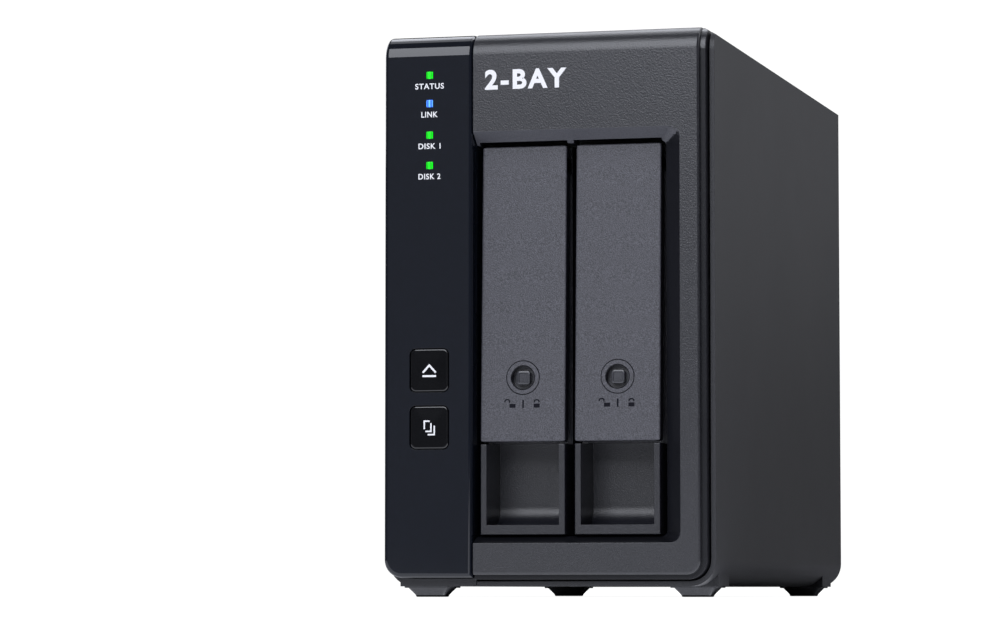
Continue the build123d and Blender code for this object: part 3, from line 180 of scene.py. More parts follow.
def noise_grain_group():
    """Moulded grain: a smooth cell field plus fine noise, both over the place divided by the grain's size.
    Height is their weighted sum; Fleck is the noise stretched about its middle; Haze is a slow noise."""
    group = bpy.data.node_groups.new("moulded_grain", "ShaderNodeTree")
    put_socket = group.interface.new_socket
    put_socket("Size", in_out="INPUT", socket_type="NodeSocketFloat")
    put_socket("Pebble", in_out="INPUT", socket_type="NodeSocketFloat")
    put_socket("Height", in_out="OUTPUT", socket_type="NodeSocketFloat")
    put_socket("Fleck", in_out="OUTPUT", socket_type="NodeSocketFloat")
    put_socket("Haze", in_out="OUTPUT", socket_type="NodeSocketFloat")
    start = group.nodes.new("NodeGroupInput")
    end = group.nodes.new("NodeGroupOutput")
    spot = group.nodes.new("ShaderNodeTexCoord")
    over = group.nodes.new("ShaderNodeMath")
    over.operation = "DIVIDE"
    over.inputs[0].default_value = 1.0
    group.links.new(start.outputs["Size"], over.inputs[1])
    spread = group.nodes.new("ShaderNodeVectorMath")
    spread.operation = "SCALE"
    group.links.new(spot.outputs["Object"], spread.inputs[0])
    group.links.new(over.outputs["Value"], spread.inputs["Scale"])
    cells = group.nodes.new("ShaderNodeTexVoronoi")
    cells.feature = "SMOOTH_F1"
    cells.inputs["Scale"].default_value = 0.9
    cells.inputs["Smoothness"].default_value = 0.7
    group.links.new(spread.outputs["Vector"], cells.inputs["Vector"])
    fine = group.nodes.new("ShaderNodeTexNoise")
    fine.inputs["Scale"].default_value = 1.0
    fine.inputs["Detail"].default_value = 1.5
    fine.inputs["Distortion"].default_value = 0.5
    group.links.new(spread.outputs["Vector"], fine.inputs["Vector"])
    height = group.nodes.new("ShaderNodeMix")
    group.links.new(start.outputs["Pebble"], height.inputs["Factor"])
    group.links.new(fine.outputs["Fac"], height.inputs["A"])
    group.links.new(cells.outputs["Distance"], height.inputs["B"])
    group.links.new(height.outputs["Result"], end.inputs["Height"])
    fleck = group.nodes.new("ShaderNodeMapRange")
    fleck.inputs["From Min"].default_value = 0.35
    fleck.inputs["From Max"].default_value = 0.68
    group.links.new(fine.outputs["Fac"], fleck.inputs["Value"])
    group.links.new(fleck.outputs["Result"], end.inputs["Fleck"])
    slow = group.nodes.new("ShaderNodeTexNoise")
    slow.inputs["Scale"].default_value = 28.0
    slow.inputs["Detail"].default_value = 3.0
    group.links.new(spot.outputs["Object"], slow.inputs["Vector"])
    haze = group.nodes.new("ShaderNodeMapRange")
    haze.inputs["From Min"].default_value = 0.3
    haze.inputs["From Max"].default_value = 0.7
    group.links.new(slow.outputs["Fac"], haze.inputs["Value"])
    group.links.new(haze.outputs["Result"], end.inputs["Haze"])
    return group


moulded_grain = noise_grain_group()


def finish_of(name, colour, roughness, grain, depth, contrast=0.2, pebble=0.0, metallic=0.0, gloss=0.5,
              haze=0.05):
    """One procedural finish: its colour swings by contrast with the flecks, its roughness by haze with the
    slow noise, and its bump is the grain's height times depth."""
    material = bpy.data.materials.new(name)
    material.use_nodes = True
    tree = material.node_tree
    shader = tree.nodes["Principled BSDF"]
    shader.inputs["Metallic"].default_value = metallic
    shader.inputs["Specular IOR Level"].default_value = gloss
    pattern = tree.nodes.new("ShaderNodeGroup")
    pattern.node_tree = moulded_grain
    pattern.inputs["Size"].default_value = grain
    pattern.inputs["Pebble"].default_value = pebble
    tint = tree.nodes.new("ShaderNodeMix")
    tint.data_type = "RGBA"
    tint.inputs["A"].default_value = (*[c * (1 - contrast) for c in colour], 1.0)
    tint.inputs["B"].default_value = (*[min(c * (1 + contrast), 1.0) for c in colour], 1.0)
    tree.links.new(pattern.outputs["Fleck"], tint.inputs["Factor"])
    tree.links.new(tint.outputs["Result"], shader.inputs["Base Color"])
    shine = tree.nodes.new("ShaderNodeMapRange")
    shine.inputs["To Min"].default_value = roughness - haze
    shine.inputs["To Max"].default_value = roughness + haze
    tree.links.new(pattern.outputs["Haze"], shine.inputs["Value"])
    tree.links.new(shine.outputs["Result"], shader.inputs["Roughness"])
    relief = tree.nodes.new("ShaderNodeBump")
    relief.inputs["Strength"].default_value = 1.0
    relief.inputs["Distance"].default_value = depth
    tree.links.new(pattern.outputs["Height"], relief.inputs["Height"])
    tree.links.new(relief.outputs["Normal"], shader.inputs["Normal"])
    return material


def take_finishes(mesh, finishes):
    """Gives the mesh its first finish everywhere, and each later one where its rule holds for a face's
    middle and normal: finishes is a list of the first finish and then pairs of a finish and a rule."""
    mesh.materials.append(finishes[0])
    middles = np.array([list(f.center) for f in mesh.polygons])
    normals = np.array([list(f.normal) for f in mesh.polygons])
    chosen = np.zeros(len(mesh.polygons), np.int32)
    for place, (finish, rule) in enumerate(finishes[1:], 1):
        mesh.materials.append(finish)
        chosen[rule(middles, normals)] = place
    mesh.polygons.foreach_set("material_index", chosen)


def softened(name, node, finishes, body, edge):
    """The moulded part of a CAD node with its edges broken: a merged copy of the mesh, coplanar triangles
    joined, and a bevel of the given width on every edge sharper than MOULDED_ANGLE."""
    form = bmesh.new()
    form.from_mesh(nodes[node].data)
    bmesh.ops.remove_doubles(form, verts=form.verts, dist=1e-6)
    bmesh.ops.dissolve_limit(form, angle_limit=FLAT_ANGLE, verts=form.verts, edges=form.edges,
                             use_dissolve_boundaries=False)
    corners = [list(v.co) for v in form.verts]
    faces = [[v.index for v in f.verts] for f in form.faces]
    form.free()
    mesh = bpy.data.meshes.new(name)
    mesh.from_pydata(corners, [], faces)
    take_finishes(mesh, finishes)
    made = bpy.data.objects.new(name, mesh)
    bpy.context.collection.objects.link(made)
    mesh.shade_smooth()
    mesh.set_sharp_from_angle(angle=MOULDED_ANGLE)
    bevel = made.modifiers.new("broken_edges", "BEVEL")
    bevel.width = edge
    bevel.segments = BEVEL_SEGMENTS
    bevel.limit_method = "ANGLE"
    bevel.angle_limit = MOULDED_ANGLE
    bevel.miter_outer = "MITER_ARC"
    even = made.modifiers.new("flat_faces_stay_flat", "WEIGHTED_NORMAL")
    even.keep_sharp = True
    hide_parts(node)
    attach(made, body)


case_plastic = finish_of("case_plastic", CASE_COLOUR, CASE_ROUGHNESS, CASE_GRAIN, CASE_RELIEF, contrast=0.25,
                         haze=0.012)
softened("right_case_half", "right_shell", [case_plastic], "case", CASE_EDGE)
softened("left_case_half", "left_shell", [case_plastic], "case", CASE_EDGE)


# ---------------------------------------------------------------- feet
# Four rubber feet glued under the corner pads, each a thin square flange over a block that tapers
# to the desk, with its edges rounded by the mould.
FOOT_EDGE = 0.5 * MM
FOOT_CORNER = 1.2 * MM
FOOT_FLANGE = 14.5 * MM
FOOT_FLANGE_TALL = 0.45 * MM
FOOT_WIDE = 12.4 * MM
FOOT_NARROW = 8.6 * MM
FLANGE_EDGE = 0.1 * MM
SMOOTH_ANGLE = math.radians(35)


def rounded_loop(half_wide, half_tall, radius, per_corner=8, per_side=6):
    """Points round a rectangle with round corners: quarter circles of the given radius at the corners,
    evenly spaced points on the sides between them. Returns the points and their outward normals."""
    spots, normals = [], []
    for turn, (sx, sz) in enumerate(((1, 1), (-1, 1), (-1, -1), (1, -1))):
        angle = np.linspace(0, math.pi / 2, per_corner + 1) + turn * math.pi / 2
        out = np.stack([np.cos(angle), np.sin(angle)], 1)
        centre = np.array([sx * (half_wide - radius), sz * (half_tall - radius)])
        spots.append(centre + radius * out)
        normals.append(out)
    loop, out = [], []
    for turn in range(4):
        loop.append(spots[turn])
        out.append(normals[turn])
        start, end = spots[turn][-1], spots[(turn + 1) % 4][0]
        share = np.linspace(0, 1, per_side + 2)[1:-1, None]
        loop.append(start + (end - start) * share)
        out.append(np.repeat(normals[turn][-1:], per_side, axis=0))
    return np.concatenate(loop), np.concatenate(out)


def skin(rows, ring=False):
    """Joins closed loops of equal length, one after another, with four-sided faces. With ring the last
    loop joins the first, otherwise the first and last loops are closed by one flat face each."""
    rows = np.asarray(rows, float)
    index = np.arange(rows.shape[0] * rows.shape[1]).reshape(rows.shape[:2])
    here, there = (index, np.roll(index, -1, axis=0)) if ring else (index[:-1], index[1:])
    faces = np.stack([here, np.roll(here, -1, axis=1), np.roll(there, -1, axis=1), there], -1)
    faces = faces.reshape(-1, 4).tolist()
    if not ring:
        faces += [index[0][::-1].tolist(), index[-1].tolist()]
    return rows.reshape(-1, 3), faces


def made_of(name, parts, finishes, body, replaces=()):
    """One piece from closed skins: their points and faces in one mesh, doubles merged, faces turned outwards,
    smooth up to SMOOTH_ANGLE."""
    corners, faces, first = [], [], 0
    for points, ways in parts:
        corners.append(points)
        faces += [[i + first for i in way] for way in ways]
        first += len(points)
    mesh = bpy.data.meshes.new(name)
    mesh.from_pydata(np.concatenate(corners).tolist(), [], faces)
    form = bmesh.new()
    form.from_mesh(mesh)
    bmesh.ops.remove_doubles(form, verts=form.verts, dist=1e-7)
    bmesh.ops.recalc_face_normals(form, faces=form.faces)
    form.to_mesh(mesh)
    form.free()
    take_finishes(mesh, finishes)
    mesh.shade_smooth()
    mesh.set_sharp_from_angle(angle=SMOOTH_ANGLE)
    made = bpy.data.objects.new(name, mesh)
    bpy.context.collection.objects.link(made)
    even = made.modifiers.new("flat_faces_stay_flat", "WEIGHTED_NORMAL")
    even.keep_sharp = True
    if replaces:
        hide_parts(*replaces)
    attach(made, body)


def rounding(radius, steps=4):
    """Inset and depth along a quarter circle that turns a flat face into its side wall."""
    angle = np.linspace(0, math.pi / 2, steps + 1)
    return [(radius * (1 - math.sin(a)), radius * (1 - math.cos(a))) for a in angle]


def level(loop, normals, inset, height):
    """The loop taken in by inset, lying flat at a height."""
    spots = loop - normals * inset
    return np.column_stack([spots, np.full(len(spots), height)])


foot_rubber = finish_of("foot_rubber", (0.044, 0.0445, 0.049), 0.55, 0.3 * MM, 0.03 * MM, contrast=0.3)
feet_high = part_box("rubber_feet")[1]
foot_x = feet_high.x - FOOT_FLANGE / 2
foot_y = feet_high.y - FOOT_FLANGE / 2
loop, out = rounded_loop(FOOT_WIDE / 2, FOOT_WIDE / 2, FOOT_CORNER)
foot_rows = []
for inset, drop in rounding(FOOT_EDGE):
    foot_rows.append(level(loop * FOOT_NARROW / FOOT_WIDE, out, inset, drop))
flange_low = feet_high.z - FOOT_FLANGE_TALL
flange = loop * FOOT_FLANGE / FOOT_WIDE
foot_rows += [level(loop, out, 0.0, flange_low), level(flange, out, FLANGE_EDGE, flange_low),
              level(flange, out, 0.0, flange_low + FLANGE_EDGE), level(flange, out, 0.0, feet_high.z)]
feet_parts = []
for x in (-foot_x, foot_x):
    for y in (-foot_y, foot_y):
        feet_parts.append(skin(np.array(foot_rows) + (x, y, 0)))
made_of("feet", feet_parts, [foot_rubber], "case", ["rubber_feet"])


# ---------------------------------------------------------------- front bezel
# The right front panel, moulded black plastic with a leather grain on its face. The bay mouth is
# smooth; its faces are darker as painted shade in the recess, and lighter over the trays as painted
# light on the faces that lean down. Its skirt plugs into the right half of the case.
MOUTH_RIGHT_EDGE = 41.4 * MM
MOUTH_LOW_EDGE = 16.1 * MM
MOUTH_HIGH_EDGE = 141.3 * MM
MOUTH_SET_BACK = 0.3 * MM
BEZEL_EDGE = 0.3 * MM
FRONT = cad_box[0].y

bezel_plastic = finish_of("bezel_plastic", (0.017, 0.0175, 0.022), 0.31, 0.46 * MM, 0.085 * MM, contrast=0.25,
                          pebble=0.35, gloss=0.66, haze=0.008)
# The mouth's finish is darker than the bezel's: painted shade inside the bay recess.
mouth_painted_shade = finish_of("mouth_painted_shade", (0.007, 0.0074, 0.010), 0.34, 0.3 * MM, 0.01 * MM, contrast=0.2,
                          gloss=0.3)
# The slope's finish is lighter than the mouth's: painted light on the faces that lean down over the trays.
slope_painted_light = finish_of("slope_painted_light", (0.064, 0.065, 0.076), 0.36, 0.3 * MM, 0.01 * MM, contrast=0.2)


def in_the_mouth(middles, normals):
    """Faces behind the front plane and inside the mouth's outer edge, which take a painted shade."""
    inside = (middles[:, 0] < MOUTH_RIGHT_EDGE) & (middles[:, 2] > MOUTH_LOW_EDGE)
    return inside & (middles[:, 2] < MOUTH_HIGH_EDGE) & (middles[:, 1] > FRONT + MOUTH_SET_BACK)


def over_the_trays(middles, normals):
    """The mouth's faces that lean down and forwards, over the trays, which take a painted light."""
    return in_the_mouth(middles, normals) & (normals[:, 2] < -0.3) & (normals[:, 1] < -0.2)


bezel_finishes = [bezel_plastic, (mouth_painted_shade, in_the_mouth), (slope_painted_light, over_the_trays)]
softened("bezel", "front_bezel", bezel_finishes, "case", BEZEL_EDGE)


# ---------------------------------------------------------------- bezel mark
# A plain raised-print mark in white on the bezel's upper left, as thick as a coat of ink.
INK_THICK = 0.06 * MM
INK_SUNK = 0.02 * MM
MARK_LEFT = -19.2 * MM
MARK_RIGHT = 6.4 * MM
MARK_LOW = 153.9 * MM
MARK_HIGH = 160.0 * MM
MARK_WEIGHT = 0.035
MARK_SPACING = 1.22

white_ink = finish_of("white_ink", (0.80, 0.80, 0.82), 0.5, 0.2 * MM, 0.01 * MM, contrast=0.04)


def printed_word(name, word, left, right, low, high, y, material, body, weight, spacing):
    """A word in the plain built-in face, made heavier by weight, turned to a mesh and stretched to fill the
    box from left to right and low to high, standing out of the surface at y by the ink's thickness."""
    text = bpy.data.curves.new(name, "FONT")
    text.body = word
    text.size = 1.0
    text.offset = weight
    text.extrude = 0.5
    text.space_character = spacing
    text.resolution_u = 6
    holder = bpy.data.objects.new(name + "_text", text)
    bpy.context.collection.objects.link(holder)
    bpy.context.view_layer.update()
    mesh = bpy.data.meshes.new_from_object(holder.evaluated_get(bpy.context.evaluated_depsgraph_get()))
    bpy.data.objects.remove(holder)
    flat = np.zeros(len(mesh.vertices) * 3)
    mesh.vertices.foreach_get("co", flat)
    flat = flat.reshape(-1, 3)
    least, most = flat.min(0), flat.max(0)
    share = (flat - least) / (most - least)
    place = np.empty_like(share)
    place[:, 0] = left + share[:, 0] * (right - left)
    place[:, 2] = low + share[:, 1] * (high - low)
    place[:, 1] = y + INK_SUNK - share[:, 2] * INK_THICK
    mesh.vertices.foreach_set("co", place.ravel())
    mesh.name = name
    mesh.materials.clear()
    mesh.materials.append(material)
    made = bpy.data.objects.new(name, mesh)
    bpy.context.collection.objects.link(made)
    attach(made, body)


printed_word("bezel_mark", "2-BAY", MARK_LEFT, MARK_RIGHT, MARK_LOW, MARK_HIGH, FRONT, white_ink, "case",
             MARK_WEIGHT, MARK_SPACING)


# ---------------------------------------------------------------- gloss panel
# The left column, a hollow cap of polished black plastic with windows for the lights and buttons.
# It clips to the left half of the case and carries the front board on four posts.
gloss_black = finish_of("gloss_black", (0.0048, 0.0064, 0.0112), 0.07, 2.0 * MM, 0.002 * MM, contrast=0.05,
                        haze=0.02)
COLUMN_EDGE = 0.30 * MM
softened("gloss_column", "gloss_panel", [gloss_black], "case", COLUMN_EDGE)


# ---------------------------------------------------------------- lights and their words
# Four square light pipes just proud of the column, three green and one blue, each lit from behind by two
# small dies that show as brighter bars. The words under them are printed in white.
PIPE_PROUD = 0.12 * MM
PIPE_EDGE = 0.25 * MM
PIPE_CORNER = 0.3 * MM
PIPE_SPACING = 9.3 * MM        # from the fourth light up to the third


def lit_plastic(name, colour, core, middle_x):
    """Clear plastic lit from behind: glow falls off from two upright bars either side of middle_x."""
    material = bpy.data.materials.new(name)
    material.use_nodes = True
    tree = material.node_tree
    shader = tree.nodes["Principled BSDF"]
    shader.inputs["Roughness"].default_value = 0.25
    shader.inputs["Emission Strength"].default_value = 1.0
    spot = tree.nodes.new("ShaderNodeTexCoord")
    shift = tree.nodes.new("ShaderNodeMapping")
    shift.inputs["Location"].default_value = (-middle_x, 0.0, 0.0)
    tree.links.new(spot.outputs["Object"], shift.inputs["Vector"])
    bars = tree.nodes.new("ShaderNodeTexWave")
    bars.wave_profile = "SIN"
    bars.inputs["Scale"].default_value = 300.0
    bars.inputs["Distortion"].default_value = 0.6
    bars.inputs["Phase Offset"].default_value = math.pi
    tree.links.new(shift.outputs["Vector"], bars.inputs["Vector"])
    tint = tree.nodes.new("ShaderNodeMix")
    tint.data_type = "RGBA"
    tint.inputs["A"].default_value = (*colour, 1.0)
    tint.inputs["B"].default_value = (*core, 1.0)
    tree.links.new(bars.outputs["Fac"], tint.inputs["Factor"])
    tree.links.new(tint.outputs["Result"], shader.inputs["Emission Color"])
    tree.links.new(tint.outputs["Result"], shader.inputs["Base Color"])
    return material


pipe_low, pipe_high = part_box("blue_light_pipe")
pipes_low, pipes_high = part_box("green_light_pipes")
column_x = (pipe_low.x + pipe_high.x) / 2
pipe_wide = (pipe_high.x - pipe_low.x) / 2
pipe_tall = (pipe_high.z - pipe_low.z) / 2
blue_z = (pipe_low.z + pipe_high.z) / 2
first_z = pipes_high.z - pipe_tall
last_z = pipes_low.z + pipe_tall
third_z = last_z + PIPE_SPACING


def light_pipe(z):
    """A pipe as loops from its domed face back to the lamp."""
    loop, out = rounded_loop(pipe_wide, pipe_tall, PIPE_CORNER, 4, 2)
    rows = []
    for inset, drop in rounding(PIPE_EDGE, 3):
        spots = level(loop, out, inset, 0)
        depth = np.full(len(spots), FRONT - PIPE_PROUD + drop)
        rows.append(np.column_stack([spots[:, 0], depth, spots[:, 1]]))
    end = rows[-1].copy()
    end[:, 1] = pipe_high.y
    rows.append(end)
    return skin(np.array(rows) + (column_x, 0, z))


green_light = lit_plastic("green_light", (0.0, 0.24, 0.002), (0.0, 0.78, 0.006), column_x)
blue_light = lit_plastic("blue_light", (0.01, 0.05, 0.70), (0.10, 0.38, 0.95), column_x)
green_pipes = [light_pipe(z) for z in (first_z, third_z, last_z)]
made_of("green_lights", green_pipes, [green_light], "case", ["green_light_pipes"])
made_of("blue_light", [light_pipe(blue_z)], [blue_light], "case", ["blue_light_pipe"])

WORD_TALL = 1.75 * MM
WORD_DROP = 3.4 * MM
WORD_WEIGHT = 0.020
WORD_SPACING = 1.12
STATUS_WIDE = 9.1 * MM
LINK_WIDE = 5.2 * MM
DISK_WIDE = 7.0 * MM
for word, wide, z in (("STATUS", STATUS_WIDE, first_z), ("LINK", LINK_WIDE, blue_z),
                      ("DISK 1", DISK_WIDE, third_z), ("DISK 2", DISK_WIDE, last_z)):
    half = wide / 2
    low = z - WORD_DROP - WORD_TALL / 2
    printed_word("word_" + word.replace(" ", "_").lower(), word, column_x - half, column_x + half, low,
                 low + WORD_TALL, FRONT, white_ink, "case", WORD_WEIGHT, WORD_SPACING)


# ---------------------------------------------------------------- buttons
# Eject and copy: square polished caps in the column with a broken edge, a slightly hollow face, a
# flange that keeps them in and a stem for the switch behind. Their signs are printed in white.
BUTTON_EDGE = 0.45 * MM
BUTTON_CORNER = 1.7 * MM
BUTTON_HOLLOW = 0.18 * MM
HOLLOW_REACH = 0.86           # share of the face that is hollow
CAP_DEEP = 3.2 * MM
BRIM_ROOM = 1.0 * MM
BRIM_REACH = 0.95 * MM
BRIM_CORNER = 0.6 * MM
BRIM_FRONT = 2.2 * MM
BRIM_BACK = 3.15 * MM
STEM_RADIUS = 2.0 * MM
STEM_FRONT = 3.0 * MM
STEM_EDGE = 0.3 * MM
SIGN_THICK = 0.04 * MM

button_black = finish_of("button_black", (0.0028, 0.0030, 0.0040), 0.10, 2.0 * MM, 0.002 * MM, haze=0.02,
                         gloss=0.7)
button_face = finish_of("button_face", (0.0022, 0.0024, 0.0034), 0.22, 0.5 * MM, 0.002 * MM, haze=0.03,
                        gloss=0.16)


def on_the_face(middles, normals):
    """Faces of a cap that look straight ahead."""
    return normals[:, 1] < -0.985


def upright(rows, x, z):
    """Turns flat rows whose height is depth behind the front into rows on a wall facing the front."""
    rows = np.asarray(rows, float)
    return np.stack([rows[..., 0] + x, rows[..., 2], rows[..., 1] + z], -1)


def prism(outline, y, thick):
    """A flat sign: its outline in X and Z pushed out of the surface at y by thick."""
    outline = np.asarray(outline, float)
    front = np.column_stack([outline[:, 0], np.full(len(outline), y - thick), outline[:, 1]])
    back = front.copy()
    back[:, 1] = y + INK_SUNK
    return skin([front, back])


def stroke(points, wide):
    """Outline of a line of even width through the points, mitred at its corners."""
    points = np.asarray(points, float)
    along = np.diff(points, axis=0)
    along /= np.linalg.norm(along, axis=1)[:, None]
    side = np.column_stack([-along[:, 1], along[:, 0]])
    at = np.vstack([side[:1], side[:-1] + side[1:], side[-1:]])
    at[1:-1] /= (1 + (side[:-1] * side[1:]).sum(1))[:, None]
    return np.vstack([points + at * wide / 2, (points - at * wide / 2)[::-1]])


ICON_LINE = 0.58 * MM
PAGE_LINE = 0.44 * MM
eject_sign = [stroke(np.array([(-2.05, -0.70), (0.0, 1.55), (2.05, -0.70)]) * MM, ICON_LINE),
              stroke(np.array([(-2.15, -1.75), (2.15, -1.75)]) * MM, ICON_LINE)]
copy_sign = [stroke(np.array([(-1.55, -0.45), (-1.55, 1.95), (0.15, 1.95)]) * MM, PAGE_LINE),
             stroke(np.array([(-1.20, -1.15), (0.55, -1.15), (0.55, 1.30)]) * MM, PAGE_LINE),
             stroke(np.array([(-0.50, -2.15), (1.60, -2.15), (1.60, 0.55)]) * MM, PAGE_LINE)]
for button, sign in (("eject_button", eject_sign), ("copy_button", copy_sign)):
    low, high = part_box(button)
    x, z = (low.x + high.x) / 2, (low.z + high.z) / 2
    half_x, half_z = (high.x - low.x) / 2 - BRIM_ROOM, (high.z - low.z) / 2 - BRIM_ROOM
    loop, out = rounded_loop(half_x, half_z, BUTTON_CORNER)
    rows = []
    for share in (0.02, 0.35, 0.65, HOLLOW_REACH):
        hollow = BUTTON_HOLLOW * (1 - share ** 2 / HOLLOW_REACH ** 2)
        rows.append(level(loop * share, out, 0.0, low.y + hollow))
    rows += [level(loop, out, inset, low.y + drop) for inset, drop in rounding(BUTTON_EDGE)]
    rows.append(level(loop, out, 0.0, low.y + CAP_DEEP))
    flange, flange_out = rounded_loop(half_x + BRIM_REACH, half_z + BRIM_REACH, BRIM_CORNER)
    brim = [level(flange, flange_out, 0.0, low.y + drop) for drop in (BRIM_FRONT, BRIM_BACK)]
    turn = np.linspace(0, 2 * math.pi, 48, endpoint=False)
    round_loop = np.stack([np.cos(turn), np.sin(turn)], 1)
    stem = [level(round_loop * STEM_RADIUS, round_loop, 0.0, low.y + STEM_FRONT),
            level(round_loop * STEM_RADIUS, round_loop, 0.0, high.y - STEM_EDGE),
            level(round_loop * STEM_RADIUS, round_loop, STEM_EDGE, high.y)]
    solids = [skin(upright(shape, x, z)) for shape in (rows, brim, stem)]
    made_of(button + "_cap", solids, [button_black, (button_face, on_the_face)], button,
            [button])
    face = low.y + BUTTON_HOLLOW * 0.9
    thick = SIGN_THICK + BUTTON_HOLLOW * 0.6
    lines = [prism(line + (x, z), face, thick) for line in sign]
    made_of(button + "_sign", lines, [white_ink], button)


# ---------------------------------------------------------------- tray frames
# Each tray is one black moulding: a front box with the finger pocket, and two arms that hold the
# disk by its long edges. Fine spark grain all over.
tray_dark = finish_of("tray_dark", (0.009, 0.0095, 0.014), 0.31, 0.34 * MM, 0.07 * MM, contrast=0.3,
                      gloss=0.62)
TRAYS = ("tray_1", "tray_2")
TRAY_EDGE = 0.22 * MM
for tray in TRAYS:
    softened(f"{tray}_frame", f"{tray}_body", [tray_dark], tray, TRAY_EDGE)


# ---------------------------------------------------------------- tray levers
# The long front plate of each tray: grey paint over black plastic, leaning back a little, with a
# folded rim, a hole for the lock and two cheeks that turn on the hinge pin. Its faces that do not look
# ahead are dark as painted shade in the gaps between the trays.
LEVER_LEAN = 2.8 * MM
LEVER_EDGE = 0.55 * MM
LEVER_RIM = 3.8 * MM
LEVER_SKIN = 1.8 * MM
LEVER_CORNER = 0.7 * MM
LOCK_HOLE = 5.22 * MM
LOCK_HOLE_EDGE = 0.10 * MM
LOCK_RING = 7.1 * MM
LOCK_SEAT = 5.0 * MM
LOCK_UP = 19.4 * MM          # from the lever's lower edge, along it
TIGHTEST_CORNER = 0.12 * MM
LEVER_POINTS = (6, 26)        # per corner and per side of its outline

tray_paint = finish_of("tray_paint", (0.058, 0.058, 0.069), 0.42, 0.31 * MM, 0.075 * MM, contrast=0.5,
                       haze=0.02)


def lever_middle(tray):
    """The X of the middle of a tray's lever."""
    low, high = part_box(f"{tray}_lever")
    return (low.x + high.x) / 2


def leaning(points, x, low, front, height):
    """Turns points drawn on an upright plate (across, depth, up from its lower edge) to the lever's lean."""
    tilt = math.atan(LEVER_LEAN / height)
    points = np.asarray(points, float)
    across, depth, up = points[..., 0], points[..., 1], points[..., 2]
    y = front + depth * math.cos(tilt) + up * math.sin(tilt)
    z = low + up * math.cos(tilt) - depth * math.sin(tilt)
    return np.stack([across + x, y, z], -1)


def sides_in_painted_shade(middles, normals):
    """Faces that do not look ahead, given the dark body finish as painted shade in the gaps between the
    trays.
    """
    return normals[:, 1] > -0.25


lever_low, lever_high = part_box("tray_1_lever")
body_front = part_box("tray_1_body")[0].y
tray_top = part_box("tray_1_body")[1].z
lever_tilt = math.atan(LEVER_LEAN / (tray_top - lever_low.z))
lever_bottom = lever_low.z + LEVER_RIM * math.sin(lever_tilt)
lever_tall = tray_top - lever_bottom
lever_half = (lever_high.x - lever_low.x) / 2
pin_low, pin_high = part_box("tray_1_pin")
pivot_y, pivot_z = (pin_low.y + pin_high.y) / 2, (pin_low.z + pin_high.z) / 2

loop = rounded_loop(lever_half, lever_tall / 2, LEVER_CORNER, *LEVER_POINTS)[0]
centred = np.array([0.0, lever_tall / 2])
angle = np.arctan2((loop + centred)[:, 1] - LOCK_UP, loop[:, 0])
ray = np.stack([np.cos(angle), np.sin(angle)], 1)
lock_spot = np.array([0.0, LOCK_UP])


def hole_row(radius, depth):
    """The circle round the lock at a depth, its points in line with the outline's."""
    spots = ray * radius + lock_spot
    return np.column_stack([spots[:, 0], np.full(len(spots), depth), spots[:, 1]])


def edge_row(inset, depth):
    """The plate's outline taken in by inset at a depth, its corners no tighter than the tool's."""
    corner = max(LEVER_CORNER - inset, TIGHTEST_CORNER)
    spots = rounded_loop(lever_half - inset, lever_tall / 2 - inset, corner, *LEVER_POINTS)[0] + centred
    return np.column_stack([spots[:, 0], np.full(len(spots), depth), spots[:, 1]])


lever_rows = [hole_row(LOCK_HOLE, LOCK_SEAT), hole_row(LOCK_HOLE, LOCK_HOLE_EDGE),
              hole_row(LOCK_HOLE + LOCK_HOLE_EDGE, 0.0), hole_row(LOCK_RING, 0.0)]
lever_rows += [edge_row(inset, drop) for inset, drop in [(2.0 * LEVER_EDGE, 0.0)] + rounding(LEVER_EDGE)]
lever_rows += [edge_row(0.0, LEVER_RIM), edge_row(LEVER_SKIN, LEVER_RIM), edge_row(LEVER_SKIN, LEVER_SKIN)]
lever_rows += [hole_row(LOCK_RING, LEVER_SKIN), hole_row(LOCK_RING, LOCK_SEAT)]
CHEEK_ROUND = 2.3 * MM
CHEEK_REACH = 3.5 * MM
CHEEK_EDGE = 0.25             # mm that the cheek's broken edge takes off its thickness
CHEEK_TAPER = 0.12
turn = np.linspace(-math.pi / 2, math.pi / 2, 20)
cheek_yz = np.column_stack([pivot_y + CHEEK_ROUND * np.cos(turn), pivot_z + CHEEK_ROUND * np.sin(turn)])
cheek_yz = np.vstack([cheek_yz, (pivot_y - CHEEK_REACH, pivot_z + CHEEK_ROUND),
                      (pivot_y - CHEEK_REACH, pivot_z - CHEEK_ROUND)])
for tray in TRAYS:
    x = lever_middle(tray)
    plate = leaning(lever_rows, x, lever_bottom, body_front, lever_tall)
    cheeks = []
    for side in (-1, 1):
        rows = []
        for inset, reach in ((CHEEK_EDGE, 0.0), (0.0, CHEEK_EDGE), (0.0, LEVER_SKIN / MM - CHEEK_EDGE),
                             (CHEEK_EDGE, LEVER_SKIN / MM)):
            middle = np.array([pivot_y, pivot_z])
            spots = middle + (cheek_yz - middle) * (1 - inset * CHEEK_TAPER)
            across = x + side * (lever_half - LEVER_SKIN + reach * MM)
            rows.append(np.column_stack([np.full(len(spots), across), spots]))
        cheeks.append(skin(rows))
    # The lever's sides and cheeks take the dark body finish as painted shade in the gaps between trays.
    made_of(f"{tray}_handle", [skin(plate, ring=True)] + cheeks, [tray_paint, (tray_dark, sides_in_painted_shade)],
            f"{tray}_lever", [f"{tray}_lever"])


# ---------------------------------------------------------------- tray locks
# A round barrel flush in each lever, its rim painted with the lever, and a dark cup with a square
# post for the key. The post has a broken edge and a shallow square step on its end.
LOCK_RADIUS = 5.1 * MM
LOCK_EDGE = 0.12 * MM
CUP_RADIUS = 3.55 * MM
CUP_DEPTH = 2.6 * MM
POST_HALF = 2.05 * MM
POST_FACE = 0.5 * MM
BARREL_LONG = 6.0 * MM
CUP_EDGE = 0.25 * MM
BARREL_EDGE = 0.3 * MM
POST_CORNER = 0.9 * MM
POST_SHRINK = 0.85 * MM        # past this inset the post's outline shrinks about its middle

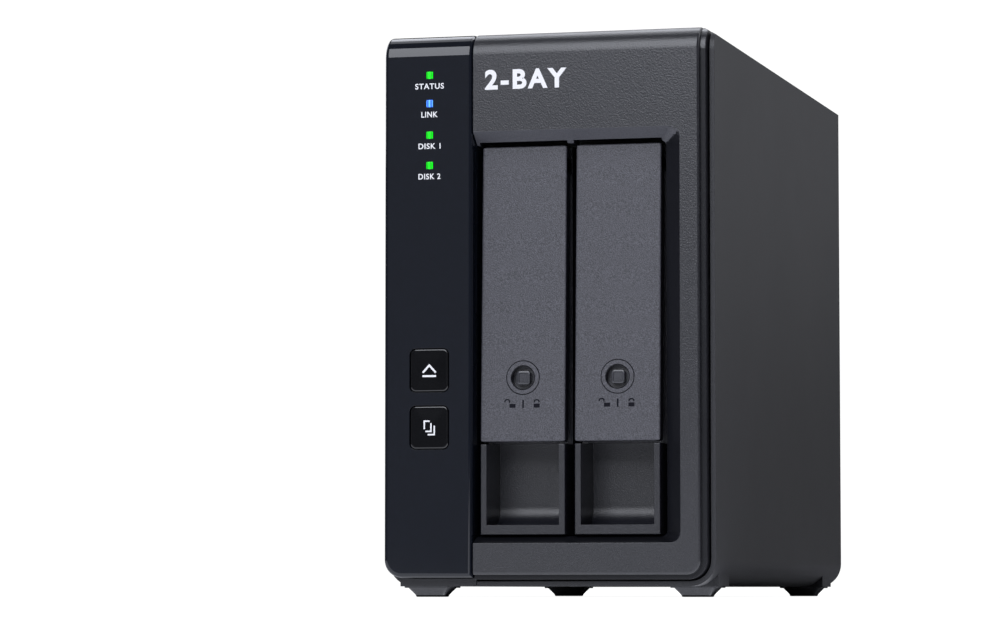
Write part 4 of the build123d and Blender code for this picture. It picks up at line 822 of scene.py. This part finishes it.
lock_dark = finish_of("lock_dark", (0.0030, 0.0032, 0.0060), 0.30, 0.5 * MM, 0.01 * MM, contrast=0.2,
                      gloss=0.25)
post_metal = finish_of("post_metal", (0.030, 0.031, 0.038), 0.26, 0.5 * MM, 0.01 * MM, contrast=0.2,
                       gloss=0.7)
turn = np.linspace(0, 2 * math.pi, 96, endpoint=False)
circle = np.stack([np.cos(turn), np.sin(turn)], 1)


def ring_row(radius, depth):
    """A circle round the lock's middle at a depth behind the lever's face."""
    up = circle[:, 1] * radius + LOCK_UP
    return np.column_stack([circle[:, 0] * radius, np.full(len(circle), depth), up])


barrel_rows = [ring_row(r, d) for r, d in (
    (CUP_RADIUS, CUP_DEPTH), (CUP_RADIUS, CUP_EDGE), (CUP_RADIUS + CUP_EDGE, 0.0),
    (LOCK_RADIUS - LOCK_EDGE, 0.0), (LOCK_RADIUS, LOCK_EDGE), (LOCK_RADIUS, BARREL_LONG - BARREL_EDGE),
    (LOCK_RADIUS - BARREL_EDGE, BARREL_LONG))]
loop, out = rounded_loop(POST_HALF, POST_HALF, POST_CORNER, 8, 4)


def post_row(inset, depth):
    """The post's square outline taken in by inset, at a depth."""
    spots = loop - out * min(inset, POST_SHRINK)
    spots = spots * (1 - max(inset - POST_SHRINK, 0) / POST_HALF)
    return np.column_stack([spots[:, 0], np.full(len(spots), depth), spots[:, 1] + LOCK_UP])


post_rows = [post_row(0.75 * MM, POST_FACE + 0.22 * MM), post_row(0.62 * MM, POST_FACE),
             post_row(0.22 * MM, POST_FACE), post_row(0.06 * MM, POST_FACE + 0.07 * MM),
             post_row(0.0, POST_FACE + 0.25 * MM), post_row(0.0, CUP_DEPTH + 0.4 * MM)]

for tray in TRAYS:
    x = lever_middle(tray)

    def off_the_rim(middles, normals, x=x):
        """Faces of the barrel that are not part of its flat painted rim."""
        across = np.hypot(middles[:, 0] - x, middles[:, 2] - lever_bottom - LOCK_UP)
        return ~((normals[:, 1] < -0.9) & (across > CUP_RADIUS))

    def on_the_post(middles, normals, x=x):
        """Faces of the square post."""
        wide = np.abs(middles[:, 0] - x) < POST_HALF + 0.05 * MM
        return wide & (np.abs(middles[:, 2] - lever_bottom - LOCK_UP) < POST_HALF + 0.15 * MM)

    parts = [skin(leaning(rows, x, lever_bottom, body_front, lever_tall))
             for rows in (barrel_rows, post_rows)]
    made_of(f"{tray}_barrel", parts, [tray_paint, (lock_dark, off_the_rim), (post_metal, on_the_post)],
            f"{tray}_lock", [f"{tray}_lock"])


# ---------------------------------------------------------------- lock signs
# Printed under each lock in dark ink: an open padlock, a bar and a closed padlock.
SIGN_UP = 11.4 * MM
BAR_LINE = 0.52 * MM
SHACKLE_LINE = 0.40 * MM
SIGN_COAT = 0.03 * MM
dark_ink = finish_of("dark_ink", (0.007, 0.007, 0.011), 0.6, 0.2 * MM, 0.005 * MM, contrast=0.1, gloss=0.08)


def padlock(x, lift, swing):
    """A padlock: a solid block, and a shackle of even line that stands over it, swung aside when open."""
    block = np.array([(-0.95, -1.15), (0.95, -1.15), (0.95, 0.05), (-0.95, 0.05)]) * MM + (x, 0)
    arc = np.linspace(math.pi, 0, 9)
    bow = np.column_stack([0.72 * np.cos(arc), 0.45 * np.sin(arc) + 0.60])
    bow = np.vstack([[(-0.72, 0.25)], bow, [(0.72, 0.25 if not swing else 0.05)]]) * MM
    return [block, stroke(bow + (x + swing, lift), SHACKLE_LINE)]


sign_lines = [stroke(np.array([(0.1, -1.25), (0.1, 1.25)]) * MM, BAR_LINE)]
sign_lines += padlock(-3.2 * MM, 0.30 * MM, -1.65 * MM) + padlock(4.35 * MM, 0.15 * MM, 0.0)
for tray in TRAYS:
    x = lever_middle(tray)
    parts = []
    for line in sign_lines:
        points, faces = prism(line + (0, SIGN_UP), 0.0, SIGN_COAT)
        parts.append((leaning(points, x, lever_bottom, body_front, lever_tall), faces))
    made_of(f"{tray}_signs", parts, [dark_ink], f"{tray}_lever")


# ---------------------------------------------------------------- inside and behind
# The drive cage, the boards and their parts, the disks, and what shows on the rear: panel, fan,
# ports, switches and screws. Their CAD shapes stay, each with its own finish.
rear_plastic = finish_of("rear_plastic", (0.020, 0.0205, 0.024), 0.40, 0.42 * MM, 0.05 * MM, contrast=0.3,
                         haze=0.015)
cage_plastic = finish_of("cage_plastic", (0.006, 0.006, 0.007), 0.6, 0.5 * MM, 0.04 * MM, contrast=0.3)
black_part = finish_of("black_part", (0.010, 0.010, 0.011), 0.38, 0.3 * MM, 0.01 * MM, contrast=0.3)
steel = finish_of("steel", (0.55, 0.56, 0.58), 0.32, 0.25 * MM, 0.004 * MM, contrast=0.06, metallic=1.0)
bright_metal = finish_of("bright_metal", (0.68, 0.68, 0.68), 0.22, 0.4 * MM, 0.003 * MM, contrast=0.05,
                         metallic=1.0)
cast_alloy = finish_of("cast_alloy", (0.36, 0.37, 0.38), 0.46, 0.5 * MM, 0.05 * MM, contrast=0.12,
                       metallic=1.0)
fin_alloy = finish_of("fin_alloy", (0.50, 0.52, 0.56), 0.34, 0.3 * MM, 0.01 * MM, contrast=0.1, metallic=1.0)
lamp_clear = finish_of("lamp_clear", (0.62, 0.62, 0.55), 0.2, 0.3 * MM, 0.004 * MM, contrast=0.1)
board_green = finish_of("board_green", (0.010, 0.060, 0.026), 0.3, 0.9 * MM, 0.03 * MM, contrast=0.45,
                        pebble=0.6)
REAR_EDGE = 0.25 * MM
softened("rear_plate", "rear_panel", [rear_plastic], "case", REAR_EDGE)
finishes = {
    "case_screws": steel, "fan_screws": steel, "board_screws": steel, "backplane_posts": steel,
    "lamps": lamp_clear, "front_board": board_green, "backplane_board": board_green,
    "main_board": board_green,
    "front_switches": black_part, "drive_sockets": black_part, "board_chips": black_part,
    "dc_jack": black_part, "mode_switch": black_part, "power_switch": black_part, "fan_frame": black_part,
    "fan_rotor": black_part, "power_button": button_black, "usb_socket": bright_metal, "heat_sink": fin_alloy,
    "drive_cage": cage_plastic, "mode_slider_1": white_ink, "mode_slider_2": white_ink,
    "mode_slider_3": white_ink,
}
for tray in TRAYS:
    finishes |= {f"{tray}_pin": steel, f"{tray}_cam": steel, f"{tray}_disk_base": cast_alloy,
                 f"{tray}_disk_cover": bright_metal, f"{tray}_disk_board": board_green,
                 f"{tray}_disk_screws": steel}
for node, finish in finishes.items():
    for mounted in nodes[node].material_slots:
        mounted.material = finish
